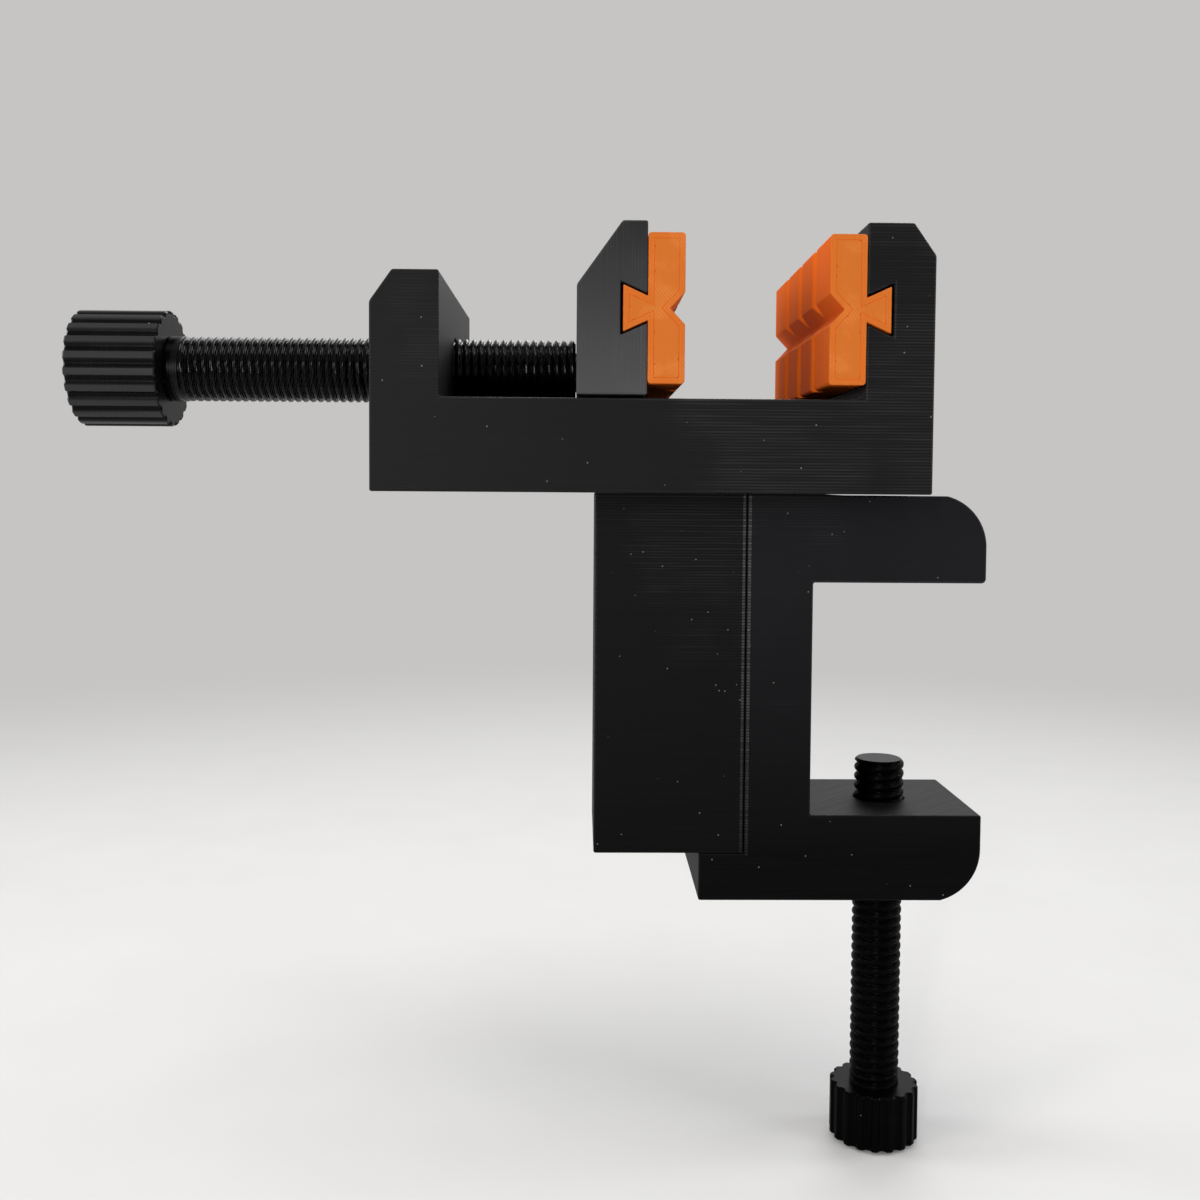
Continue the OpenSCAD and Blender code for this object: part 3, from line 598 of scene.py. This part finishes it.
fluted = knob_tree()
clamp_knob_black = black_plastic("black_pla_clamp_knob", "#010102", "#0C0C0D", strength=0.38,
                                 rough=0.3, gloss=0.03, dust=0.1)
clamp_knob = fluted_knob("clamp_knob_print", CLAMP_KNOB_LEN, CLAMP_KNOB_R, CLAMP_FLUTES,
                         clamp_knob_black)
clamp_knob.transform(Matrix.Translation((0, 0, -KNOB_GAP - CLAMP_KNOB_LEN)) @ upright)
place_piece("clamp_knob_print", clamp_knob, clamp_knob_black, "clamp_spindle", "clamp_knob")


# Mounting post
# Square post under the bed, with an upright dovetail socket that drops over the clamp's rail.
# Black PLA, printed upright on its own, so its layers lie level.
# Painted shade darkens the post towards its foot, and painted light makes its streaks stronger towards
# its right and its top
post_black = black_plastic("black_pla_post", "#101011", "#343435", low="#060607", span=(-0.042, 0.0),
                           painted_light_slope=(9, 0, 12), offset=0.33, strength=0.36, gloss=0.05, dust=0.7)
post_mesh = printed_block("mounting_post_print", "mounting_post", BLOCK_EASE)
widen_seam(post_mesh, POST_X, -1)
place_piece("mounting_post_print", post_mesh, post_black, "vise", "mounting_post",
            BLOCK_CREASE)


# Post screws
# Two countersunk socket screws, down through the guide slot's floor into the post.
# Zinc-plated steel, cold headed, with a turned face on the head.
SCREW_R = 2.0 * MM
SCREW_POINT = 0.4 * MM
SCREW_SPACING = 8.0 * MM
HEAD_R = 3.75 * MM
HEAD_EASE = 0.12 * MM
SOCKET_AF = 2.4 * MM
SOCKET_RIM = 0.15 * MM
SOCKET_WALL = 0.9
screws_low, screws_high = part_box("post_screws")
SCREW_TOP_Z = screws_high.z
SCREW_LEN = screws_high.z - screws_low.z
SCREW_X = (screws_high.x - HEAD_R - SCREW_SPACING, screws_high.x - HEAD_R)


def plated_steel():
    """Zinc-plated steel: a cool grey metal, slightly mottled, with a fine grain in its roughness and
    relief.
    """
    material, tree = bare_material("zinc_plated_steel")
    place = add(tree, "ShaderNodeTexCoord").outputs["Object"]
    in_mm = add(tree, "ShaderNodeMapping", {"Vector": place, "Scale": (1 / MM,) * 3}).outputs[0]
    mottle = add(tree, "ShaderNodeTexNoise", {"Vector": in_mm, "Scale": 1.4, "Detail": 4.0}).outputs[0]
    scratch = add(tree, "ShaderNodeTexNoise", {"Vector": in_mm, "Scale": 9.0, "Detail": 2.0}).outputs[0]
    colour = add(tree, "ShaderNodeMix",
                 {"Factor": mottle, 6: linear("#8B8E93"), 7: linear("#C3C6C9")},
                 data_type="RGBA").outputs[2]
    rough = add(tree, "ShaderNodeMapRange", {0: scratch, 1: 0.3, 2: 0.7, 3: 0.26, 4: 0.42}).outputs[0]
    bump = add(tree, "ShaderNodeBump",
               {"Height": scratch, "Strength": 0.2, "Distance": 0.02 * MM}).outputs[0]
    shader = add(tree, "ShaderNodeBsdfPrincipled",
                 {"Base Color": colour, "Metallic": 1.0, "Roughness": rough, "Normal": bump}).outputs[0]
    add(tree, "ShaderNodeOutputMaterial", {"Surface": shader})
    return material


def screw_row_tree():
    """Geometry nodes that stand copies of one screw in a row along X."""
    tree, given = open_tree("screw_row", Object=("Screw",), Int=("Count",), Vector=("First", "Spacing"),
                            Material=("Material",))
    spots = add(tree, "GeometryNodeMeshLine",
                {"Count": given["Count"], "Start Location": given["First"], "Offset": given["Spacing"]})
    screw = add(tree, "GeometryNodeObjectInfo", {"Object": given["Screw"]}).outputs["Geometry"]
    copies = add(tree, "GeometryNodeInstanceOnPoints", {"Points": spots.outputs[0], "Instance": screw})
    close_tree(tree, copies.outputs[0], given["Material"])
    return tree


def socket_screw():
    """One countersunk screw along +X, head face at the origin, with a hexagonal socket."""
    shape = bmesh.new()
    sides = 48
    turn = [math.tau * i / sides for i in range(sides)]
    head = HEAD_R - SCREW_R
    ease = HEAD_EASE
    corner = SOCKET_AF / 2 / math.cos(math.pi / 6)
    stations = [(-SCREW_LEN, 0), (-SCREW_LEN, SCREW_R - SCREW_POINT),
                (-SCREW_LEN + SCREW_POINT, SCREW_R), (-head, SCREW_R),
                (-2 * ease, HEAD_R - 2 * ease), (-ease, HEAD_R - ease), (0, HEAD_R - 2 * ease)]
    rings = []
    for x, r in stations:
        rings.append([shape.verts.new((x, r * math.cos(a), r * math.sin(a))) for a in turn])
    # The socket's wall, from the angle to the middle of the nearest flat
    flats = [(a + math.pi / 6) % (math.pi / 3) - math.pi / 6 for a in turn]
    wall = [SOCKET_AF / 2 / math.cos(off) for off in flats]
    for x, grow in ((0, SOCKET_RIM), (-SOCKET_RIM, 0), (-head * SOCKET_WALL, 0),
                    (-head, -corner)):
        reach = [max(w + grow, 0) for w in wall]
        rings.append([shape.verts.new((x, r * math.cos(a), r * math.sin(a)))
                      for a, r in zip(turn, reach)])
    for low, high in zip(rings, rings[1:]):
        for i in range(sides):
            shape.faces.new((low[i], low[i - 1], high[i - 1], high[i]))
    bmesh.ops.remove_doubles(shape, verts=shape.verts, dist=WELD)
    bmesh.ops.dissolve_degenerate(shape, dist=WELD, edges=shape.edges)
    bmesh.ops.recalc_face_normals(shape, faces=shape.faces)
    bmesh.ops.transform(shape, verts=shape.verts, matrix=STAND)
    mesh = bpy.data.meshes.new("socket_screw")
    shape.to_mesh(mesh)
    shape.free()
    return bpy.data.objects.new("socket_screw", mesh)


steel = plated_steel()
one_screw = socket_screw()
bpy.context.scene.collection.objects.link(one_screw)
post_screws = grown_mesh("post_screws_steel", screw_row_tree(), {
    "Screw": one_screw, "Count": len(SCREW_X), "First": (SCREW_X[0], 0, SCREW_TOP_Z),
    "Spacing": (SCREW_SPACING, 0, 0), "Material": steel})
bpy.data.objects.remove(one_screw)
place_piece("post_screws_steel", post_screws, steel, "vise", "post_screws")


# Vise body
# Bed, nut block and fixed jaw in one piece, with the guide slot for the moving jaw.
# Black PLA, printed flat on the bed's underside, so its layers lie level.
HOLE_REACH = HEAD_R + 0.8 * MM

# Painted light makes the streaks stronger towards the right of the body
body_black = black_plastic("black_pla_body", "#111112", "#3A3A3C", painted_light_slope=(3.5, 0, 0), offset=0.08,
                           strength=0.37, rough=0.45, gloss=0.08, dust=0.35)
body_mesh = printed_block("vise_body_print", "vise_body", BLOCK_EASE,
                          holes=[(x, 0, HOLE_REACH) for x in SCREW_X])
place_piece("vise_body_print", body_mesh, body_black, "vise", "vise_body", BLOCK_CREASE)


# Moving jaw
# Jaw with a sloped back, guided by a tongue in the bed and held by the screw's button end.
# Black PLA, printed lying on its gripping face, so its layers stand upright; its grey tone is a painted
# sheen, paler towards the bottom.
jaw_painted_sheen = black_plastic("black_pla_jaw", "#222223", "#626264", low="#464647", span=(0.026, 0.052),
                         lay=(0, -math.pi / 2, 0), strength=0.22, gloss=0.1, dust=0.2)
place_piece("moving_jaw_print", printed_block("moving_jaw_print", "moving_jaw", BLOCK_EASE),
            jaw_painted_sheen, "jaw", "moving_jaw", BLOCK_CREASE)


# Vise screw
# Screw that drives the moving jaw, with a sharp fine thread, a smooth collar and a button end.
# Black PLA, printed standing; the hexagonal tenon at its outer end carries the knob.
VISE_SCREW_R = 5.15 * MM
VISE_PITCH = 1.2 * MM
THREAD_X = -112.0 * MM
THREAD_END_X = -50.0 * MM
NECK_R = 3.2 * MM
BUTTON_R = 4.5 * MM
BUTTON_LEN = 2.6 * MM
SCREW_EASE = 0.2 * MM
SCREW_SIDES = 56
vise_knob_low, vise_knob_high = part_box("vise_knob")
SCREW_AXIS_Z = (vise_knob_low.z + vise_knob_high.z) / 2
COLLAR_X = vise_knob_high.x + KNOB_GAP
BUTTON_END_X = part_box("vise_screw")[1].x

vise_thread_black = black_plastic("black_pla_vise_thread", "#010102", "#0A0A0B",
                                  lay=(0, -math.pi / 2, 0), strength=0.3, rough=0.14, gloss=0.16,
                                  dust=0.05)
quarter = Matrix.Rotation(-math.pi / 2, 4, "X")
collar_len = THREAD_X - COLLAR_X
vise_thread = grown_mesh("vise_screw_thread", thread, {
    "Length": THREAD_END_X - THREAD_X, "Radius": VISE_SCREW_R, "Pitch": VISE_PITCH,
    "Depth": 0.75 * MM, "Roundness": 1.6, "Run-out": 0.5 * MM, "Tip bevel": 0.5 * MM,
    "First crest": 0.75 * MM, "Layer": LAYER, "Unevenness": 0.05 * MM, "Rows per turn": 16,
    "Steps round": SCREW_SIDES, "Material": vise_thread_black})
vise_thread.transform(Matrix.Translation((collar_len, 0, 0)))
ease = SCREW_EASE
collar = [(0, 0), (0, VISE_SCREW_R - ease), (ease, VISE_SCREW_R),
          (collar_len - ease, VISE_SCREW_R), (collar_len + ease, VISE_SCREW_R - 2 * ease),
          (collar_len + ease, 0)]
root_x = THREAD_END_X - COLLAR_X - ease
button_x = BUTTON_END_X - COLLAR_X
neck_x = button_x - BUTTON_LEN
button = [(root_x, 0), (root_x, NECK_R), (neck_x, NECK_R), (neck_x, BUTTON_R - ease),
          (neck_x + ease, BUTTON_R), (button_x - ease, BUTTON_R), (button_x, BUTTON_R - ease),
          (button_x, 0)]
place_piece("vise_screw_print",
            with_shells(vise_thread, [(collar, SCREW_SIDES), (button, SCREW_SIDES),
                                      (tenon_outline(-TENON_LEN), 6)],
                        Matrix.Translation((COLLAR_X, 0, SCREW_AXIS_Z)) @ quarter),
            vise_thread_black, "vise_spindle", "vise_screw")


# Vise knob
# Large fluted knob pushed onto the vise screw's tenon.
# Black PLA, printed flat on its end, so its layers stand upright across the flutes.
VISE_KNOB_R = 9.15 * MM
VISE_KNOB_LEN = vise_knob_high.x - vise_knob_low.x
VISE_FLUTES = 22
LAND_HIGHLIGHT_SHARE = 0.29


def paint_land_highlight(mesh, radius, length, amount):
    """Marks the lands between the flutes for a painted highlight, which makes them paler than the
    scoops.
    """
    mark = mesh.attributes.new("land_highlight", "FLOAT", "POINT").data
    for vertex in mesh.vertices:
        rise = (math.hypot(vertex.co.y, vertex.co.z) - radius) / FLUTE_DEPTH + 1
        on_side = KNOB_EASE - WELD < vertex.co.x < length - KNOB_EASE + WELD
        mark[vertex.index].value = amount * max(rise, 0) ** 2 if on_side else 0.0


vise_knob_black = black_plastic("black_pla_vise_knob", "#020203", "#1C1C1D",
                                lay=(0, -math.pi / 2, 0), strength=0.45, rough=0.24, gloss=0.07,
                                dust=0.25)
vise_knob = fluted_knob("vise_knob_print", VISE_KNOB_LEN, VISE_KNOB_R, VISE_FLUTES, vise_knob_black)
# Painted highlight on the lands of the knob
paint_land_highlight(vise_knob, VISE_KNOB_R, VISE_KNOB_LEN, LAND_HIGHLIGHT_SHARE)
knob_x = COLLAR_X - KNOB_GAP - VISE_KNOB_LEN
vise_knob.transform(Matrix.Translation((knob_x, 0, SCREW_AXIS_Z)) @ quarter)
place_piece("vise_knob_print", vise_knob, vise_knob_black, "vise_spindle", "vise_knob")


# Jaw inserts
# Two equal soft jaws that slide into the jaws' dovetails, grooved for round and upright stock.
# Orange PLA, printed standing on one end: end faces show the outline beads and the slanted fill.
INSERT_EASE = 0.14 * MM
INSERT_T = 5.25 * MM
VEE_W = 4.5 * MM
VEE_DEPTH = 2.1 * MM
TAIL_NECK = 3.4 * MM
TAIL_END = 6.6 * MM
TAIL_DEPTH = 3.5 * MM
FINE_LINE = 0.04 * MM
FINE_DEPTH = 0.02 * MM
TURN_BAND = 0.18 * MM
END_AREA = 50 * MM * MM
END_ON = 0.99
insert_low, insert_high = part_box("moving_jaw_insert")
INSERT_H = insert_high.z - insert_low.z
INSERT_MID_Z = (insert_low.z + insert_high.z) / 2
MOVING_BACK_X = insert_high.x - INSERT_T
FIXED_BACK_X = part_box("fixed_jaw_insert")[0].x + INSERT_T


def orange_plastic(name):
    """Orange PLA as printed: satin, with beads along its sides and slanted fill
    on its ends."""
    material, tree = bare_material(name)
    coords = add(tree, "ShaderNodeTexCoord")
    in_mm = add(tree, "ShaderNodeMapping",
                {"Vector": coords.outputs["Object"], "Scale": (1 / MM,) * 3}).outputs[0]
    # Layers are stacked along Y; drawn every 0.43 mm, because 0.2 mm is too fine to show
    line = 0.43
    long = 1 / 15
    stretched = add(tree, "ShaderNodeMapping",
                    {"Vector": in_mm, "Scale": (long, 1 / line, long)}).outputs[0]
    tone = add(tree, "ShaderNodeTexNoise",
               {"Vector": stretched, "Scale": 1.0, "Detail": 2.0, "Roughness": 0.6}).outputs[0]
    # Fill beads of 0.42 mm, slanted across the end faces
    bead = 0.42
    slanted = add(tree, "ShaderNodeMapping",
                  {"Vector": in_mm, "Rotation": (0, math.radians(38), 0)}).outputs[0]
    across = add(tree, "ShaderNodeSeparateXYZ", {0: slanted}).outputs["X"]
    fold = in_repeat(tree, across, 1 / bead)
    fold = add(tree, "ShaderNodeMath", {0: fold}, operation="ABSOLUTE").outputs[0]
    fill = add(tree, "ShaderNodeMapRange", {0: fold, 1: 0.25, 2: 0.5, 3: 1.0, 4: 0.0},
               interpolation_type="SMOOTHSTEP").outputs[0]
    worn = add(tree, "ShaderNodeTexNoise", {"Vector": in_mm, "Scale": 1 / 4, "Detail": 2.0}).outputs[0]
    worn = add(tree, "ShaderNodeMapRange", {0: worn, 1: 0.45, 2: 0.65}).outputs[0]
    ends = add(tree, "ShaderNodeSeparateXYZ", {0: coords.outputs["Normal"]}).outputs["Y"]
    ends = add(tree, "ShaderNodeMath", {0: ends}, operation="ABSOLUTE").outputs[0]
    ends = add(tree, "ShaderNodeMath", {0: ends, 1: SQUARE_ON}, operation="GREATER_THAN").outputs[0]
    end_height = add(tree, "ShaderNodeMath", {0: fill, 1: worn}, operation="MULTIPLY").outputs[0]
    height = add(tree, "ShaderNodeMix", {0: ends, 2: tone, 3: end_height}).outputs[0]
    shade = add(tree, "ShaderNodeMapRange", {0: height, 1: 0.2, 2: 0.8, 3: 0.0, 4: 1.0}).outputs[0]
    # The sides get a redder tone than the ends: partly the print's own difference between side and end
    # faces, partly painted light for the redder light that orange faces throw on each other
    side_tone, end_tone = [
        add(tree, "ShaderNodeMix", {"Factor": shade, 6: linear(deep), 7: linear(bright)},
            data_type="RGBA").outputs[2]
        for deep, bright in (("#D05C18", "#D8671D"), ("#C26828", "#CA7233"))]
    colour = add(tree, "ShaderNodeMix", {"Factor": ends, 6: side_tone, 7: end_tone},
                 data_type="RGBA").outputs[2]
    # Pinholes of about 0.2 mm, some 0.85 mm apart, are left here and there where the fill turns round
    apart = 0.85
    turning = add(tree, "ShaderNodeAttribute", attribute_name="turning").outputs["Fac"]
    holes = add(tree, "ShaderNodeTexVoronoi", {"Vector": in_mm, "Scale": 1 / apart})
    hole = add(tree, "ShaderNodeMapRange",
               {0: holes.outputs["Distance"], 1: 0.14, 2: 0.24, 3: 0.8, 4: 0.0}).outputs[0]
    hole = add(tree, "ShaderNodeMath", {0: hole, 1: turning}, operation="MULTIPLY").outputs[0]
    colour = add(tree, "ShaderNodeMix", {"Factor": hole, 6: colour, 7: linear("#8A3E10")},
                 data_type="RGBA").outputs[2]
    rough = add(tree, "ShaderNodeMapRange", {0: tone, 1: 0.3, 2: 0.7, 3: 0.72, 4: 0.64}).outputs[0]
    bump = add(tree, "ShaderNodeBump",
               {"Height": height, "Strength": 0.3, "Distance": 0.03 * MM}).outputs[0]
    shader = add(tree, "ShaderNodeBsdfPrincipled",
                 {"Base Color": colour, "Roughness": rough, "IOR": 1.46, "Specular IOR Level": 0.05,
                  "Normal": bump}).outputs[0]
    add(tree, "ShaderNodeOutputMaterial", {"Surface": shader})
    return material


def inset_outline(points, inset):
    """A closed outline moved inwards by a distance; its points run anticlockwise."""
    moved = []
    for i, point in enumerate(points):
        before = (point - points[i - 1]).normalized()
        after = (points[(i + 1) % len(points)] - point).normalized()
        n1 = Vector((-before.y, before.x))
        n2 = Vector((-after.y, after.x))
        moved.append(point + (n1 + n2) * inset / (1 + n1.dot(n2)))
    return moved


def beaded_ends(mesh, back_x, facing):
    """Rebuilds both end faces of an insert: two outline beads with a pressed line inside each,
    a narrow band where the fill turns round, and the fill itself."""
    half = INSERT_H / 2
    outline = [(0, -half), (INSERT_T, -half), (INSERT_T, -VEE_W / 2), (INSERT_T - VEE_DEPTH, 0),
               (INSERT_T, VEE_W / 2), (INSERT_T, half), (0, half), (0, TAIL_NECK / 2),
               (-TAIL_DEPTH, TAIL_END / 2), (-TAIL_DEPTH, -TAIL_END / 2), (0, -TAIL_NECK / 2)]
    outline = [Vector(p) for p in outline]
    steps = ((BEAD - FINE_LINE, 0), (BEAD, FINE_DEPTH), (BEAD + FINE_LINE, 0),
             (2 * BEAD - PRESSED, 0), (2 * BEAD, PRESSED), (2 * BEAD + PRESSED, 0),
             (2 * BEAD + TURN_BAND, 0))
    shape = bmesh.new()
    shape.from_mesh(mesh)
    turning = shape.faces.layers.float.new("turning")
    ends = [f for f in shape.faces if abs(f.normal.y) > END_ON and f.calc_area() > END_AREA]
    for end in ends:
        rim = list(end.verts)
        y = rim[0].co.y
        inward = -math.copysign(1, y)
        rings = []
        for inset, depth in steps:
            level = y + inward * depth
            rings.append([shape.verts.new((back_x + facing * p.x, level, INSERT_MID_Z + p.y))
                          for p in inset_outline(outline, inset)])
        shape.faces.remove(end)
        both = rim + rings[0]
        for corners in tessellate_polygon([[v.co for v in rim], [v.co for v in rings[0]]]):
            shape.faces.new([both[i] for i in corners])
        for outer, inner in zip(rings, rings[1:]):
            for i in range(len(outer)):
                band = shape.faces.new((outer[i], outer[i - 1], inner[i - 1], inner[i]))
                band[turning] = 1.0 if inner is rings[-1] else 0.0
        shape.faces.new(rings[-1])
    bmesh.ops.recalc_face_normals(shape, faces=shape.faces)
    shape.to_mesh(mesh)
    shape.free()
    return mesh


insert_orange = orange_plastic("orange_pla_insert")
for insert, body, back_x, facing in (("moving_jaw_insert", "moving_insert", MOVING_BACK_X, 1),
                                     ("fixed_jaw_insert", "fixed_insert", FIXED_BACK_X, -1)):
    insert_mesh = printed_block(insert + "_print", insert, INSERT_EASE)
    place_piece(insert + "_print", beaded_ends(insert_mesh, back_x, facing), insert_orange, body,
                insert, BLOCK_CREASE)


# Floor, light and camera
# A pale floor just under the clamp knob that fades into an equally pale surround.
# Soft lights on all sides and above, and a narrow upright one in front that the threads glint in.
FLOOR_R = 1.6
FLOOR_X = -0.05
FLOOR_GAP = 0.4 * MM
FLOOR_FADE = (0.1, 0.6)
BACKGROUND = "#C6C5C4"

floor_mesh = bpy.data.meshes.new("floor")
floor_shape = bmesh.new()
bmesh.ops.create_circle(floor_shape, cap_ends=True, segments=96, radius=FLOOR_R)
bmesh.ops.translate(floor_shape, verts=floor_shape.verts, vec=(FLOOR_X, 0, cad_low.z - FLOOR_GAP))
floor_shape.to_mesh(floor_mesh)
floor_shape.free()
floor = bpy.data.objects.new("floor", floor_mesh)
bpy.context.scene.collection.objects.link(floor)
floor_paint, tree = bare_material("pale_matt_floor")
from_middle = add(tree, "ShaderNodeMapping",
                  {"Vector": add(tree, "ShaderNodeTexCoord").outputs["Object"],
                   "Location": (-FLOOR_X, 0, 0), "Scale": (1, 1, 0)}).outputs[0]
distance = add(tree, "ShaderNodeVectorMath", {0: from_middle}, operation="LENGTH").outputs["Value"]
fade = add(tree, "ShaderNodeMapRange", {0: distance, 1: FLOOR_FADE[0], 2: FLOOR_FADE[1]},
           interpolation_type="SMOOTHSTEP").outputs[0]
grain = add(tree, "ShaderNodeTexNoise",
            {"Vector": from_middle, "Scale": 40.0, "Detail": 3.0}).outputs[0]
paint = add(tree, "ShaderNodeMix", {"Factor": grain, 6: linear("#D3D2D0"), 7: linear("#D9D8D7")},
            data_type="RGBA").outputs[2]
matt = add(tree, "ShaderNodeBsdfDiffuse", {"Color": paint}).outputs[0]
clear = add(tree, "ShaderNodeBsdfTransparent").outputs[0]
add(tree, "ShaderNodeOutputMaterial",
    {"Surface": add(tree, "ShaderNodeMixShader", {0: fade, 1: matt, 2: clear}).outputs[0]})
floor_mesh.materials.append(floor_paint)

world = bpy.data.worlds.new("pale_studio")
bpy.context.scene.world = world
world.use_nodes = True
tree = world.node_tree
tree.nodes.clear()
rays = add(tree, "ShaderNodeLightPath").outputs
seen = add(tree, "ShaderNodeMath", {0: rays["Is Camera Ray"], 1: rays["Is Glossy Ray"]},
           operation="MAXIMUM").outputs[0]
seen = add(tree, "ShaderNodeMath", {0: seen, 1: rays["Is Transmission Ray"]},
           operation="MAXIMUM").outputs[0]
surround = add(tree, "ShaderNodeMix",
               {"Factor": seen, 6: linear("#9A9CA0"), 7: linear(BACKGROUND)},
               data_type="RGBA").outputs[2]
add(tree, "ShaderNodeOutputWorld",
    {"Surface": add(tree, "ShaderNodeBackground", {"Color": surround, "Strength": 1.0}).outputs[0]})

# Each light: place and size in metres, power in watts, tint
AIM = Vector((-0.05, 0, -0.01))
for name, spot, wide, tall, watts, tint in (
        ("left_light", (-0.60, -0.36, 0.12), 0.22, 0.22, 1.3, "#FFFAF2"),
        ("right_light", (0.52, -0.36, 0.06), 0.22, 0.22, 1.3, "#F2F6FF"),
        ("front_light", (-0.22, -0.60, 0.05), 0.03, 0.36, 1.5, "#FFFDF9"),
        ("top_light", (-0.05, -0.16, 0.66), 0.40, 0.40, 1.9, "#FFFDF9"),
        ("back_light", (0.15, 0.60, 0.45), 0.60, 0.60, 2.8, "#FFFFFF"),
        ("left_fill", (-0.70, 0.10, 0.20), 0.30, 0.30, 2.0, "#FFFFFF"),
        ("right_fill", (0.70, 0.10, 0.20), 0.30, 0.30, 1.9, "#FFFFFF")):
    lamp = bpy.data.lights.new(name, "AREA")
    lamp.shape = "ELLIPSE"
    lamp.size = wide
    lamp.size_y = tall
    lamp.energy = watts
    lamp.color = linear(tint)[:3]
    holder = bpy.data.objects.new(name, lamp)
    holder.location = spot
    holder.rotation_euler = (AIM - Vector(spot)).to_track_quat("-Z", "Y").to_euler()
    bpy.context.scene.collection.objects.link(holder)

PHOTO_SIDE = 1200
SENSOR_MM = 36.0
FOCAL_PX = 1265.4
CENTRE_PX = (601.0, 551.6)
CAMERA_SPOT = Vector((-49.12, -204.45, 13.70)) * MM
CAMERA_TURN = [math.radians(a) for a in (2.735, 0.345, 0.949)]

camera_data = bpy.data.cameras.new("photo_camera")
camera_data.sensor_width = SENSOR_MM
camera_data.lens = FOCAL_PX / PHOTO_SIDE * SENSOR_MM
camera_data.shift_x = (PHOTO_SIDE / 2 - CENTRE_PX[0]) / PHOTO_SIDE
camera_data.shift_y = (CENTRE_PX[1] - PHOTO_SIDE / 2) / PHOTO_SIDE
camera_data.clip_start = 0.01
camera = bpy.data.objects.new("photo_camera", camera_data)
turned = Matrix.Rotation(CAMERA_TURN[2], 3, "Z") @ Matrix.Rotation(CAMERA_TURN[1], 3, "Y")
turned = turned @ Matrix.Rotation(CAMERA_TURN[0], 3, "X")
right, forward, up = turned[0], turned[1], turned[2]
view = Matrix((right, up, -forward)).transposed().to_4x4()
camera.matrix_world = Matrix.Translation(CAMERA_SPOT) @ view
bpy.context.scene.collection.objects.link(camera)
bpy.context.scene.camera = camera
bpy.context.scene.view_settings.view_transform = "Standard"
